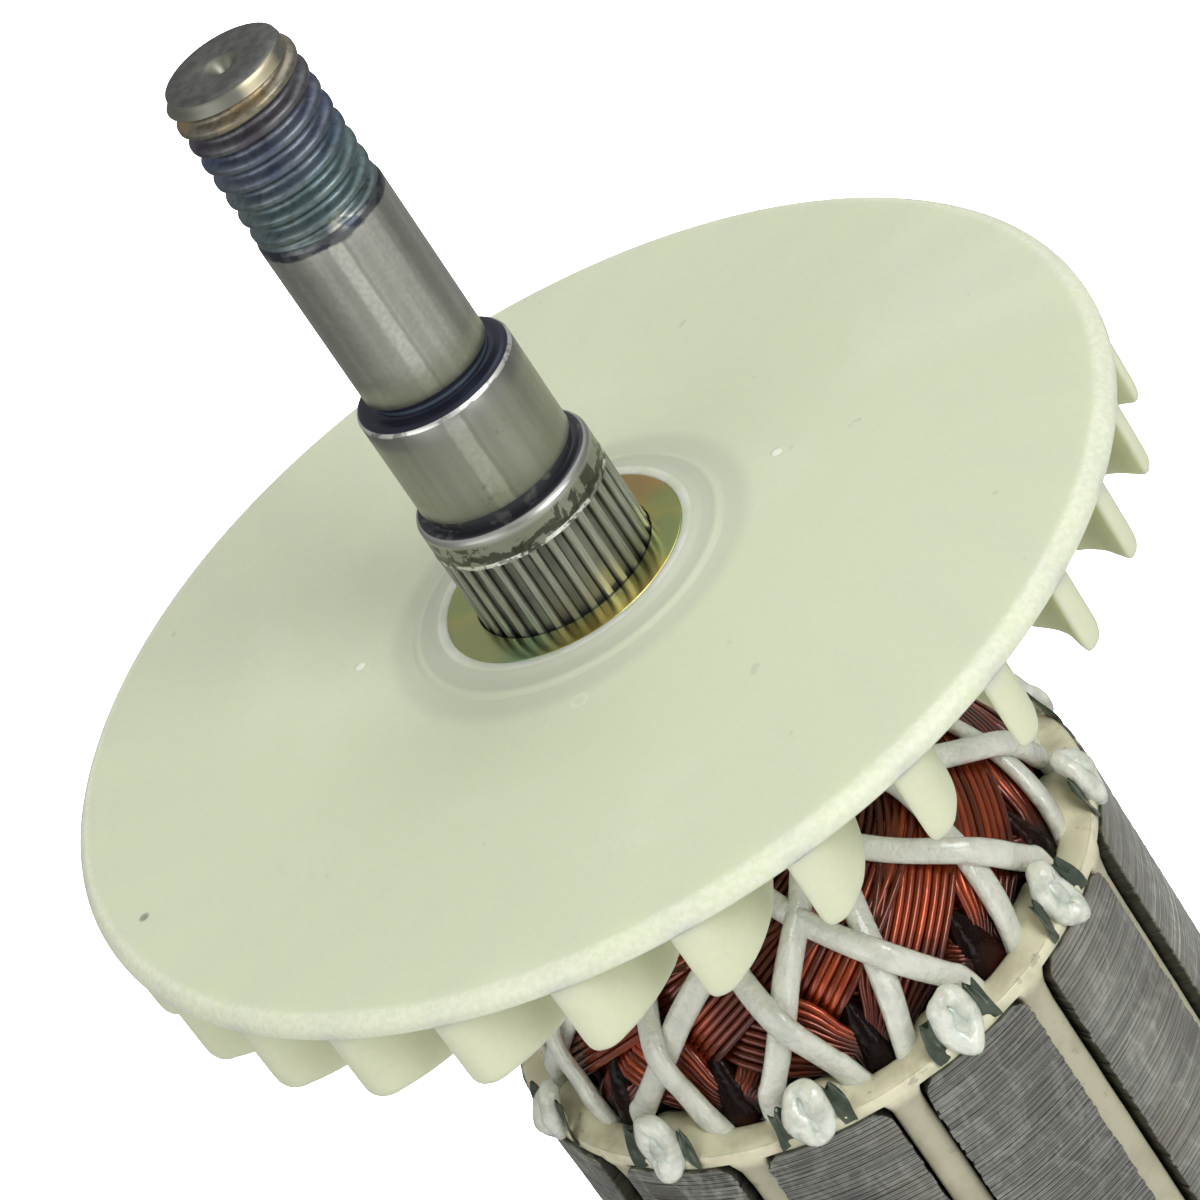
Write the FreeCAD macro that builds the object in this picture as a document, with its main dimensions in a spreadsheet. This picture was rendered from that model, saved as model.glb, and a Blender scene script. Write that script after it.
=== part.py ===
# Armature of a hand-held cut-off machine motor: a hardened shaft with a threaded nose, a nylon fan
# on a zinc-plated steel sleeve, a laminated core of twelve slots with its lap winding, lacing and
# insulation, and a commutator of twenty-four bars.
# Millimetres. The axis is Z, the threaded nose points up, and the origin is the middle of the
# drive-end bearing seat.
import FreeCAD
import Part
import math
import os
import Sketcher

os.makedirs("parts", exist_ok=True)
doc = FreeCAD.newDocument("MotorArmature")
sheet = doc.addObject("Spreadsheet::Sheet", "Sizes")
V3 = FreeCAD.Vector


class Size:
    """A length, angle or count with its value and the expression that gives it from the sheet."""

    def __init__(self, value, text):
        self.value = float(value)
        self.text = text

    @staticmethod
    def of(other):
        return other if isinstance(other, Size) else Size(other, repr(float(other)))

    def join(self, other, sign, value, swap=False):
        left, right = (Size.of(other), self) if swap else (self, Size.of(other))
        return Size(value, "(" + left.text + " " + sign + " " + right.text + ")")

    def __add__(self, other):
        return self.join(other, "+", self.value + Size.of(other).value)

    def __radd__(self, other):
        return self.join(other, "+", self.value + Size.of(other).value, True)

    def __sub__(self, other):
        return self.join(other, "-", self.value - Size.of(other).value)

    def __rsub__(self, other):
        return self.join(other, "-", Size.of(other).value - self.value, True)

    def __mul__(self, other):
        return self.join(other, "*", self.value * Size.of(other).value)

    def __rmul__(self, other):
        return self.join(other, "*", self.value * Size.of(other).value, True)

    def __truediv__(self, other):
        return self.join(other, "/", self.value / Size.of(other).value)

    def __neg__(self):
        return 0 - self

    def root(self):
        return Size(math.sqrt(self.value), "sqrt(" + self.text + ")")

    def cos(self):
        return Size(math.cos(math.radians(self.value)), "cos(" + self.text + ")")

    def sin(self):
        return Size(math.sin(math.radians(self.value)), "sin(" + self.text + ")")


def size(alias, value, note):
    """Write one driving size into the next row of the sheet and return it."""
    size.row = getattr(size, "row", 0) + 1
    sheet.set("A%d" % size.row, note)
    sheet.set("B%d" % size.row, str(value))
    sheet.setAlias("B%d" % size.row, alias)
    return Size(value, "Sizes." + alias)


# Shaft, from the threaded nose down
thread_d = size("thread_d", 11.8, "thread, over the crests")
thread_len = size("thread_len", 16.0, "thread, length")
tip_chamfer = size("tip_chamfer", 1.3, "chamfer of the nose")
centre_hole_d = size("centre_hole_d", 2.6, "lathe centre, mouth")
centre_hole_deep = size("centre_hole_deep", 2.6, "lathe centre, depth")
pinion_seat_d = size("pinion_seat_d", 12.0, "pinion seat")
pinion_seat_len = size("pinion_seat_len", 18.2, "pinion seat, length")
bearing_seat_d = size("bearing_seat_d", 15.0, "drive-end bearing seat")
bearing_seat_len = size("bearing_seat_len", 11.8, "drive-end bearing seat, length")
relief_wide = size("relief_wide", 1.2, "grinding relief, width")
relief_deep = size("relief_deep", 0.35, "grinding relief, depth")
edge_chamfer = size("edge_chamfer", 0.5, "chamfer on the seats")
collar_d = size("collar_d", 17.0, "collar and fluted length")
collar_band = size("collar_band", 3.3, "plain band of the collar")
flute_len = size("flute_len", 22.0, "length of the flutes")
flute_count = size("flute_count", 30, "number of flutes")
flute_wide = size("flute_wide", 1.15, "width of a flute")
flute_deep = size("flute_deep", 0.5, "depth of a flute")
flute_over = size("flute_over", 0.08, "crests of the flutes over the collar, on radius")
core_shaft_d = size("core_shaft_d", 16.0, "shaft inside the insulating tube")
rear_seat_d = size("rear_seat_d", 12.0, "commutator-end bearing seat")
rear_seat_len = size("rear_seat_len", 13.0, "commutator-end bearing seat, length")
rear_step = size("rear_step", 1.5, "room between commutator and bearing")

# Fan and its sleeve
fan_d = size("fan_d", 102.0, "fan")
fan_down = size("fan_down", 13.4, "from the shoulder down to the rim's upper edge")
fan_thick = size("fan_thick", 2.1, "fan disc at the rim")
fan_rise = size("fan_rise", 1.2, "rise of the disc from rim to boss")
boss_d = size("boss_d", 27.6, "raised boss round the sleeve")
boss_rise = size("boss_rise", 0.9, "height of the boss above the disc")
rim_round = size("rim_round", 0.8, "bevel of the rim's upper edge")
hub_d = size("hub_d", 29.0, "fan hub under the disc")
hub_deep = size("hub_deep", 11.0, "fan hub below the rim's upper edge")
blade_count = size("blade_count", 29, "number of blades")
blade_high = size("blade_high", 7.6, "blade height under the disc")
blade_thick = size("blade_thick", 1.35, "blade thickness")
blade_lead = size("blade_lead", 26.0, "angle of a blade to the rim")
blade_curve = size("blade_curve", 14.5, "radius of a blade's arc")
blade_sweep = size("blade_sweep", 60.0, "arc angle of a blade")
blade_straight = size("blade_straight", 9.0, "straight inner run of a blade")
blade_back = size("blade_back", 0.15, "blade ends behind the rim")
blade_corner = size("blade_corner", 2.8, "height of a blade's rounded corner")
blade_corner_in = size("blade_corner_in", 1.8, "inward reach of that corner")
sleeve_d = size("sleeve_d", 23.2, "steel sleeve in the fan")
sleeve_len = size("sleeve_len", 14.0, "steel sleeve, length")
press_gap = size("press_gap", 0.04, "drawn gap of pressed pieces")

# Core
core_down = size("core_down", 56.9, "from the shoulder down to the core")
core_d = size("core_d", 60.0, "laminated core")
core_len = size("core_len", 52.0, "laminated core, length")
slot_count = size("slot_count", 12, "number of slots")
slot_mouth = size("slot_mouth", 3.6, "slot opening")
slot_lip = size("slot_lip", 2.4, "tooth tip above the slot's shoulder")
slot_shoulder = size("slot_shoulder", 1.0, "height of the sloped shoulder")
slot_wide = size("slot_wide", 8.2, "slot width at the shoulder")
slot_root = size("slot_root", 4.4, "slot width at its bottom")
slot_deep = size("slot_deep", 14.6, "from the core's rim to the slot bottom")
tube_wall = size("tube_wall", 1.8, "insulating tube, wall")
tube_front = size("tube_front", 19.0, "tube in front of the core")
tube_rear = size("tube_rear", 19.0, "tube behind the core")

# Insulation
plate_thick = size("plate_thick", 1.4, "end insulation plate")
plate_edge = size("plate_edge", 0.8, "steel left bare round the plate")
lug_high = size("lug_high", 2.8, "lugs of the end insulation above the core")
lug_wall = size("lug_wall", 1.6, "lugs, thickness")
lug_wide = size("lug_wide", 5.7, "lugs, width")
lug_back = size("lug_back", 1.2, "lugs behind the plate's edge")
liner_thick = size("liner_thick", 0.3, "slot liner")
liner_gap = size("liner_gap", 0.08, "slot liner to slot")
liner_out = size("liner_out", 2.2, "slot liner beyond the core")
wedge_sunk = size("wedge_sunk", 0.9, "slot wedge below the rim")
wedge_thick = size("wedge_thick", 0.75, "flange of the slot wedge")
wedge_gap = size("wedge_gap", 0.1, "slot wedge to slot")

# Winding and lacing
coil_pitch = size("coil_pitch", 5, "slots from one side of a coil to the other")
top_side_high = size("top_side_high", 4.6, "outer coil side, radial height")
top_side_wide = size("top_side_wide", 4.9, "outer coil side, width")
low_side_high = size("low_side_high", 4.6, "inner coil side, radial height")
low_side_wide = size("low_side_wide", 3.2, "inner coil side, width")
coil_gap = size("coil_gap", 0.2, "coil sides to the liner and to each other")
head_thick = size("head_thick", 3.8, "coil heads, thickness")
head_out = size("head_out", 3.0, "outer legs, straight run out of the core")
head_in = size("head_in", 2.6, "inner legs, straight run out of the core")
head_high = size("head_high", 11.0, "rise of the outer legs to the nose")
head_round = size("head_round", 0.55, "roundness of the heads, 0 for a cone")
nose_r = size("nose_r", 15.0, "radius at which a coil head turns back")
outer_share = size("outer_share", 0.567, "share of a head in its outer leg")
cord_d = size("cord_d", 2.2, "lacing cord")
cord_gap = size("cord_gap", 0.15, "lacing cord to what it lies on")
loop_high = size("loop_high", 6.0, "lacing loop at the rim, height")
loop_tilt = size("loop_tilt", 20.0, "lean of the loops")

# Commutator
bar_count = size("bar_count", 24, "number of bars")
com_d = size("com_d", 42.0, "brush track")
com_len = size("com_len", 27.0, "brush track, length")
com_down = size("com_down", 22.5, "from the core to the hooks")
hook_d = size("hook_d", 47.0, "over the hooks")
hook_wide = size("hook_wide", 3.0, "hooks, along the axis")
bar_deep = size("bar_deep", 5.5, "bars, radial depth")
bar_gap = size("bar_gap", 0.7, "groove between bars")
bar_seat = size("bar_seat", 0.15, "hub below the bars")
lead_d = size("lead_d", 1.1, "winding leads")

# Stations along the axis
shoulder = (edge_chamfer - bearing_seat_len - relief_wide) / 2
seat_top = shoulder + bearing_seat_len
pinion_top = seat_top + pinion_seat_len
nose_z = pinion_top + thread_len
rim_top = shoulder - fan_down
rim_low = rim_top - fan_thick
blade_low = rim_low - blade_high
boss_top = rim_top + fan_rise + boss_rise
core_top = shoulder - core_down
core_low = core_top - core_len
com_top = core_low - com_down
com_low = com_top - hook_wide - com_len
rear_z = com_low - rear_step - rear_seat_len
flute_low = shoulder - collar_band - flute_len

flute_start = 5.0
blade_start = 3.2
slot_step = 360 / slot_count.value
core_r = core_d / 2
shoulder_y = core_r - slot_lip - slot_shoulder
root_y = core_r - slot_deep
tube_r = core_shaft_d / 2 + tube_wall
lug_out_r = core_r - plate_edge - lug_back
low_mid_r = root_y + liner_gap + liner_thick + coil_gap + low_side_high / 2
top_mid_r = low_mid_r + (low_side_high + top_side_high) / 2 + 4 * coil_gap


def origin_part(body, role):
    """Return the body's own origin plane or axis of that role."""
    return [part for part in body.Origin.OriginFeatures if part.Role == role][0]


def new_body(name):
    body = doc.addObject("PartDesign::Body", name)
    body.Label = name
    return body


def new_sketch(body, name, role, lift=None):
    """Attach a sketch to one of the body's origin planes, lifted along its normal."""
    sketch = body.newObject("Sketcher::SketchObject", name)
    sketch.AttachmentSupport = (origin_part(body, role), [""])
    sketch.MapMode = "FlatFace"
    if lift is not None:
        sketch.AttachmentOffset = FreeCAD.Placement(V3(0, 0, lift.value), FreeCAD.Rotation())
        sketch.setExpression("AttachmentOffset.Base.z", lift.text)
    return sketch


def pin(sketch, geometry, point, axis, amount):
    """Hold one coordinate of a point at a size taken from the sheet."""
    amount = Size.of(amount)
    kind = "DistanceX" if axis == 0 else "DistanceY"
    index = sketch.addConstraint(Sketcher.Constraint(kind, -1, 1, geometry, point, amount.value))
    sketch.setExpression("Constraints[%d]" % index, amount.text)


def outline(sketch, points, arcs=None):
    """Draw a closed outline of straight edges and arcs.

    arcs maps the number of an edge to its centre, radius and sense, 1 for counter-clockwise.
    """
    arcs = arcs or {}
    corners = [V3(Size.of(x).value, Size.of(y).value, 0) for x, y in points]
    count = len(corners)
    ends = []
    for edge in range(count):
        start = corners[edge]
        stop = corners[(edge + 1) % count]
        if edge not in arcs:
            number = sketch.addGeometry(Part.LineSegment(start, stop), False)
            ends.append((number, 1, 2))
            continue
        centre_x, centre_y, radius, sense = arcs[edge]
        centre = V3(Size.of(centre_x).value, Size.of(centre_y).value, 0)
        first, last = (start, stop) if sense > 0 else (stop, start)
        angles = [math.atan2(p.y - centre.y, p.x - centre.x) for p in (first, last)]
        circle = Part.Circle(centre, V3(0, 0, 1), Size.of(radius).value)
        number = sketch.addGeometry(Part.ArcOfCircle(circle, angles[0], angles[1]), False)
        ends.append((number, 1, 2) if sense > 0 else (number, 2, 1))
    for edge in range(count):
        number, start_point, stop_point = ends[edge]
        following = ends[(edge + 1) % count]
        sketch.addConstraint(Sketcher.Constraint("Coincident", number, stop_point, following[0],
                                                 following[1]))
    for edge in range(count):
        pin(sketch, ends[edge][0], ends[edge][1], 0, points[edge][0])
        pin(sketch, ends[edge][0], ends[edge][1], 1, points[edge][1])
    for edge in arcs:
        radius = Size.of(arcs[edge][2])
        index = sketch.addConstraint(Sketcher.Constraint("Radius", ends[edge][0], radius.value))
        sketch.setExpression("Constraints[%d]" % index, radius.text)


def ring(sketch, radius):
    """Draw a circle about the origin."""
    number = sketch.addGeometry(Part.Circle(V3(0, 0, 0), V3(0, 0, 1), radius.value), False)
    sketch.addConstraint(Sketcher.Constraint("Coincident", number, 3, -1, 1))
    index = sketch.addConstraint(Sketcher.Constraint("Radius", number, radius.value))
    sketch.setExpression("Constraints[%d]" % index, radius.text)


def feature(body, kind, name, sketch, **settings):
    """Add a PartDesign feature on a sketch; a Size setting is bound to the sheet."""
    made = body.newObject("PartDesign::" + kind, name)
    made.Profile = sketch
    for key in settings:
        setting = settings[key]
        if isinstance(setting, Size):
            setattr(made, key, setting.value)
            made.setExpression(key, setting.text)
        else:
            setattr(made, key, setting)
    sketch.Visibility = False
    return made


def turned(body, kind, name, sketch):
    """Turn a sketch once round the axis, as a Revolution or a Groove."""
    return feature(body, kind, name, sketch, ReferenceAxis=(sketch, ["V_Axis"]), Angle=360.0)


def repeated(body, name, original, count):
    """Repeat a feature round the axis and make the pattern the body's tip."""
    pattern = body.newObject("PartDesign::PolarPattern", name)
    pattern.Originals = [original]
    pattern.Axis = (origin_part(body, "Z_Axis"), [""])
    pattern.Angle = 360.0
    pattern.Occurrences = int(count.value)
    pattern.setExpression("Occurrences", count.text)
    body.Tip = pattern
    return pattern


def turned_to(body, angle):
    """Turn a finished sub-part about the axis to its slot."""
    body.Placement = FreeCAD.Placement(V3(0, 0, 0), FreeCAD.Rotation(V3(0, 0, 1), angle))


def loose(name, shape, angle=0.0):
    """A sub-part whose form is worked out in code, turned about the axis to its place."""
    part = doc.addObject("Part::Feature", name)
    part.Label = name
    part.Shape = shape
    part.Placement = FreeCAD.Placement(V3(0, 0, 0), FreeCAD.Rotation(V3(0, 0, 1), angle))
    return part


def polar(radius, degrees, height):
    angle = math.radians(degrees)
    return V3(radius * math.cos(angle), radius * math.sin(angle), height)


def make_shaft():
    """Turned shaft with its seats, reliefs, collar and lathe centres, then the flutes."""
    body = new_body("shaft")
    profile = new_sketch(body, "shaft_profile", "XZ_Plane")
    nose_r_flat = thread_d / 2 - tip_chamfer
    pinion_r = pinion_seat_d / 2
    bearing_r = bearing_seat_d / 2
    collar_r = collar_d / 2
    crest_r = collar_r + flute_over
    body_r = core_shaft_d / 2
    rear_r = rear_seat_d / 2
    hole_r = centre_hole_d / 2
    points = [
        (0, nose_z - centre_hole_deep),
        (hole_r, nose_z),
        (nose_r_flat, nose_z),
        (thread_d / 2, nose_z - tip_chamfer),
        (thread_d / 2, pinion_top + relief_wide),
        (pinion_r - relief_deep, pinion_top + relief_wide),
        (pinion_r - relief_deep, pinion_top),
        (pinion_r, pinion_top),
        (pinion_r, seat_top + relief_wide),
        (pinion_r - relief_deep, seat_top + relief_wide),
        (pinion_r - relief_deep, seat_top),
        (bearing_r - edge_chamfer, seat_top),
        (bearing_r, seat_top - edge_chamfer),
        (bearing_r, shoulder + relief_wide),
        (bearing_r - relief_deep, shoulder + relief_wide),
        (bearing_r - relief_deep, shoulder),
        (collar_r - edge_chamfer, shoulder),
        (collar_r, shoulder - edge_chamfer),
        (collar_r, shoulder - collar_band),
        (crest_r, shoulder - collar_band),
        (crest_r, flute_low),
        (body_r, flute_low),
        (body_r, com_low),
        (rear_r, com_low),
        (rear_r, rear_z + edge_chamfer),
        (rear_r - edge_chamfer, rear_z),
        (0, rear_z),
    ]
    outline(profile, points)
    turned(body, "Revolution", "shaft_turned", profile)
    flute = new_sketch(body, "flute_section", "XY_Plane", shoulder - collar_band)
    outline(flute, [(crest_r - flute_deep, 0), (crest_r + flute_deep, -flute_wide),
                    (crest_r + flute_deep, flute_wide)])
    cut = feature(body, "Pocket", "flute", flute, Length=flute_len)
    repeated(body, "flutes", cut, flute_count)
    turned_to(body, flute_start)


def make_fan():
    """Nylon fan: coned disc with a boss and a hub, swept blades, rounded lower corners."""
    body = new_body("fan")
    profile = new_sketch(body, "fan_profile", "XZ_Plane")
    rim_r = fan_d / 2
    boss_r = boss_d / 2
    hole_r = sleeve_d / 2 + press_gap
    hub_low = rim_top - hub_deep
    points = [
        (hole_r, hub_low),
        (hub_d / 2, hub_low),
        (hub_d / 2, rim_low),
        (rim_r, rim_low),
        (rim_r, rim_top - rim_round),
        (rim_r - rim_round, rim_top),
        (boss_r + boss_rise, rim_top + fan_rise),
        (boss_r, boss_top),
        (hole_r, boss_top),
    ]
    outline(profile, points)
    turned(body, "Revolution", "disc", profile)

    section = new_sketch(body, "blade_section", "XY_Plane", blade_low)
    centre_x = rim_r - blade_curve * blade_lead.cos()
    centre_y = -(blade_curve * blade_lead.sin())
    outer = blade_curve + blade_thick / 2
    inner = blade_curve - blade_thick / 2
    end_x = rim_r - blade_back
    last = blade_lead + blade_sweep
    run = (-(blade_straight * last.sin()), blade_straight * last.cos())

    def blade_side(radius):
        across = end_x - centre_x
        side = [(end_x, centre_y + (radius * radius - across * across).root())]
        for share in (0.42, 1.0):
            angle = blade_lead + blade_sweep * share
            side.append((centre_x + radius * angle.cos(), centre_y + radius * angle.sin()))
        side.append((side[-1][0] + run[0], side[-1][1] + run[1]))
        return side

    outline(section, blade_side(outer) + blade_side(inner)[::-1])
    blade = feature(body, "Pad", "blade", section, Length=blade_high + fan_thick / 2)

    corner = new_sketch(body, "blade_corner_profile", "XZ_Plane")
    points = [
        (end_x, blade_low + blade_corner),
        (end_x - blade_corner_in * 0.3, blade_low + blade_corner * 0.35),
        (end_x - blade_corner_in, blade_low),
        (end_x - blade_corner_in, blade_low - 1),
        (end_x + 2, blade_low - 1),
        (end_x + 2, blade_low + blade_corner),
    ]
    outline(corner, points)
    cut = feature(body, "Pocket", "blade_corner_cut", corner, Length=blade_curve, Midplane=True)
    pattern = repeated(body, "blades", blade, blade_count)
    pattern.Originals = [blade, cut]
    turned_to(body, blade_start)


def make_fan_sleeve():
    """Zinc-plated steel sleeve moulded into the fan and pressed on the flutes."""
    body = new_body("fan_sleeve")
    profile = new_sketch(body, "sleeve_profile", "XZ_Plane")
    inner = collar_d / 2 + flute_over + press_gap
    outer = sleeve_d / 2
    low = boss_top - sleeve_len
    outline(profile, [(inner, low), (outer, low), (outer, boss_top - press_gap),
                      (inner, boss_top - press_gap)])
    turned(body, "Revolution", "sleeve", profile)


def make_tube():
    """Insulating tube between the shaft and the core."""
    body = new_body("insulating_tube")
    profile = new_sketch(body, "tube_profile", "XZ_Plane")
    inner = core_shaft_d / 2 + press_gap
    outer = tube_r - press_gap
    low = core_low - tube_rear
    high = core_top + tube_front
    outline(profile, [(inner, low), (outer, low), (outer, high), (inner, high)])
    turned(body, "Revolution", "tube", profile)


def slot_outline(sketch):
    """Slot with tapered sides, sloped shoulders and a mouth at the rim."""
    root = slot_root / 2
    wide = slot_wide / 2
    mouth = slot_mouth / 2
    points = [
        (-root, root_y),
        (root, root_y),
        (wide, shoulder_y),
        (mouth, shoulder_y + slot_shoulder),
        (mouth, core_r + 1),
        (-mouth, core_r + 1),
        (-mouth, shoulder_y + slot_shoulder),
        (-wide, shoulder_y),
    ]
    outline(sketch, points)


def make_core():
    """Stack of core laminations with its slots."""
    body = new_body("core_stack")
    face = new_sketch(body, "core_face", "XY_Plane", core_low)
    ring(face, core_r)
    ring(face, tube_r)
    feature(body, "Pad", "core", face, Length=core_len)
    slot = new_sketch(body, "slot_section", "XY_Plane", core_top)
    slot_outline(slot)
    cut = feature(body, "Pocket", "slot", slot, Length=core_len)
    repeated(body, "slots", cut, slot_count)


def make_end_insulation(name, face_z, side, lugs):
    """Moulded plate on one end of the core, slotted, with or without a lug on each tooth."""
    body = new_body(name)
    edge = core_r - plate_edge
    plate_top = face_z + side * plate_thick
    blank = new_sketch(body, name + "_blank", "XY_Plane", face_z)
    ring(blank, edge)
    ring(blank, tube_r)
    feature(body, "Pad", name + "_plate", blank, Length=plate_thick, Reversed=side < 0)

    window = new_sketch(body, name + "_window", "XY_Plane", plate_top)
    root = slot_root / 2
    wide = slot_wide / 2
    outline(window, [(-root, root_y), (root, root_y), (wide, shoulder_y), (-wide, shoulder_y)])
    cut = feature(body, "Pocket", name + "_slot", window, Length=plate_thick, Reversed=side < 0)
    repeated(body, name + "_slots", cut, slot_count)
    if not lugs:
        return

    lug = new_sketch(body, name + "_lug_section", "XY_Plane", plate_top)
    half = slot_step / 2
    corners = [(lug_out_r - lug_wall, -lug_wide / 2), (lug_out_r, -lug_wide / 2),
               (lug_out_r, lug_wide / 2), (lug_out_r - lug_wall, lug_wide / 2)]
    cos_half = math.cos(math.radians(half))
    sin_half = math.sin(math.radians(half))
    outline(lug, [(x * cos_half - y * sin_half, x * sin_half + y * cos_half) for x, y in corners])
    raised = feature(body, "Pad", name + "_lug", lug, Length=lug_high - plate_thick,
                     Reversed=side < 0)
    repeated(body, name + "_lugs", raised, slot_count)


def make_slot_pieces():
    """Liner and wedge of each slot."""
    for number in range(int(slot_count.value)):
        angle = number * slot_step
        body = new_body("slot_liner_%02d" % (number + 1))
        section = new_sketch(body, body.Label + "_section", "XY_Plane", core_low - liner_out)
        root = slot_root / 2 - liner_gap
        wide = slot_wide / 2 - liner_gap
        edge = shoulder_y - 0.1
        low = root_y + liner_gap
        floor = low + liner_thick
        outline(section, [(-root, low), (root, low), (wide, edge), (wide - liner_thick, edge),
                          (root - liner_thick, floor), (liner_thick - root, floor),
                          (liner_thick - wide, edge), (-wide, edge)])
        feature(body, "Pad", body.Label + "_pad", section, Length=core_len + 2 * liner_out)
        turned_to(body, angle)

        body = new_body("slot_wedge_%02d" % (number + 1))
        section = new_sketch(body, body.Label + "_section", "XY_Plane", core_low)
        low = shoulder_y + wedge_gap
        stem = slot_mouth / 2 - wedge_gap
        flange = slot_wide / 2 - 2 * wedge_gap - slot_shoulder * 0.9
        neck = low + wedge_thick
        top = core_r - wedge_sunk
        outline(section, [(-flange, low), (flange, low), (stem, neck), (stem, top), (-stem, top),
                          (-stem, neck)])
        feature(body, "Pad", body.Label + "_pad", section, Length=core_len)
        turned_to(body, angle)


def head_profile(layer, turn):
    """Radius and height over the core of a head's middle line, 0 at its foot and 1 at the nose.

    The line is a quarter ellipse blended with the straight line between its ends.
    """
    share = head_round.value
    across = share * math.cos(math.pi * turn / 2) + (1 - share) * (1 - turn)
    up = share * math.sin(math.pi * turn / 2) + (1 - share) * turn
    apart = head_thick.value + 2 * coil_gap.value
    top = head_out.value + head_high.value
    if layer == "outer":
        foot, reach, top_end = top_mid_r.value, head_out.value, top
    else:
        foot, reach, top_end = low_mid_r.value, head_in.value, top - apart
    return nose_r.value + (foot - nose_r.value) * across, reach + (top_end - reach) * up


def head_angle(layer, turn):
    """Angle round the axis: a straight line blended with a smooth step, from slot to slot."""
    span = coil_pitch.value * slot_step
    step = 0.5 * turn + 0.5 * (3 * turn ** 2 - 2 * turn ** 3)
    if layer == "outer":
        return span * outer_share.value * step
    return span - span * (1 - outer_share.value) * step


def head_normal(layer, turn):
    """Unit normal of the profile, away from the inside of the winding."""
    ahead = head_profile(layer, min(turn + 0.01, 1.0))
    behind = head_profile(layer, max(turn - 0.01, 0.0))
    run = (ahead[0] - behind[0], ahead[1] - behind[1])
    length = math.hypot(run[0], run[1])
    sign = 1 if layer == "outer" else -1
    return sign * run[1] / length, -sign * run[0] / length


def room_between(start, stop):
    """Room across a straight piece of a head before it meets its neighbour, a slot further."""
    middle = (start + stop) / 2
    radius = math.hypot(middle.x, middle.y)
    ahead = V3(-middle.y, middle.x, 0) / radius
    run = (stop - start).normalize().dot(ahead)
    return 2 * math.pi * radius / slot_count.value * math.sqrt(1 - run * run)


def head_sections(side, face_z, steps):
    """Sections of one coil head from the foot of its outer leg to that of its inner leg."""
    apart = head_thick.value + 2 * coil_gap.value
    rows = []
    for turn in steps:
        share = min(turn / steps[1], 1.0)
        high = top_side_high.value + (head_thick.value - top_side_high.value) * share
        rows.append((head_profile("outer", turn), head_normal("outer", turn),
                     head_angle("outer", turn), top_side_wide.value, high))
    radius, height = head_profile("outer", 1.0)
    rows.append(((radius - apart / 2, height - apart / 2), (-1.0, 0.0), head_angle("outer", 1.0),
                 low_side_wide.value, head_thick.value))
    for turn in reversed(steps):
        share = min(turn / steps[1], 1.0)
        high = low_side_high.value + (head_thick.value - low_side_high.value) * share
        rows.append((head_profile("inner", turn), head_normal("inner", turn),
                     head_angle("inner", turn), low_side_wide.value, high))
    centres = [polar(row[0][0], row[2], face_z + side * row[0][1]) for row in rows]
    last = len(rows) - 1
    sections = []
    for number in range(len(rows)):
        place, tilt, angle, wide, high = rows[number]
        if number in (0, last):
            along = V3(0, 0, side if number == 0 else -side)
        else:
            along = centres[number + 1] - centres[number - 1]
            rooms = [room_between(centres[i], centres[i + 1]) for i in (number - 1, number)]
            wide = min(wide, min(rooms) - 2 * coil_gap.value)
        normal = polar(tilt[0], angle, side * tilt[1])
        across = along.cross(normal).normalize() * side
        upright = along.cross(across).normalize() * -side
        sections.append([centres[number] + across * (wide / 2 * i) + upright * (high / 2 * j)
                         for i, j in ((1, 1), (-1, 1), (-1, -1), (1, -1))])
    return sections


def flat_faced(sections, closed):
    """Solid of flat triangles between sections of as many corners each."""
    faces = []
    count = len(sections)
    corners = len(sections[0])

    def add(a, b, c):
        faces.append(Part.Face(Part.makePolygon([a, b, c, a])))

    for number in range(count if closed else count - 1):
        here = sections[number]
        there = sections[(number + 1) % count]
        for corner in range(corners):
            beside = (corner + 1) % corners
            add(here[corner], here[beside], there[beside])
            add(here[corner], there[beside], there[corner])
    if not closed:
        faces.append(Part.Face(Part.makePolygon(sections[0] + [sections[0][0]])))
        faces.append(Part.Face(Part.makePolygon(sections[-1] + [sections[-1][0]])))
    solid = Part.Solid(Part.makeShell(faces))
    if solid.Volume < 0:
        solid.reverse()
    return solid


def make_coils():
    """Twelve coils, each a closed loop through two slots."""
    front = head_sections(1, core_top.value, [0.0, 0.2, 0.45, 0.7, 1.0])
    rear = head_sections(-1, core_low.value, [0.0, 0.45, 1.0])
    coil = flat_faced(front + rear[::-1], True)
    for number in range(int(slot_count.value)):
        loose("coil_%02d" % (number + 1), coil, number * slot_step)


def tube_along(points, radius, sides):
    """Cord of many-sided section through hand-placed points."""
    sections = []
    for number in range(len(points)):
        before = points[max(number - 1, 0)]
        after = points[min(number + 1, len(points) - 1)]
        along = (after - before).normalize()
        out = V3(points[number].x, points[number].y, 0).normalize()
        across = along.cross(out).normalize()
        up = across.cross(along)
        turns = [2 * math.pi * (side + 0.5) / sides for side in range(sides)]
        sections.append([points[number] + across * (radius * math.cos(turn))
                         + up * (radius * math.sin(turn)) for turn in turns])
    return flat_faced(sections, False)


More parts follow.
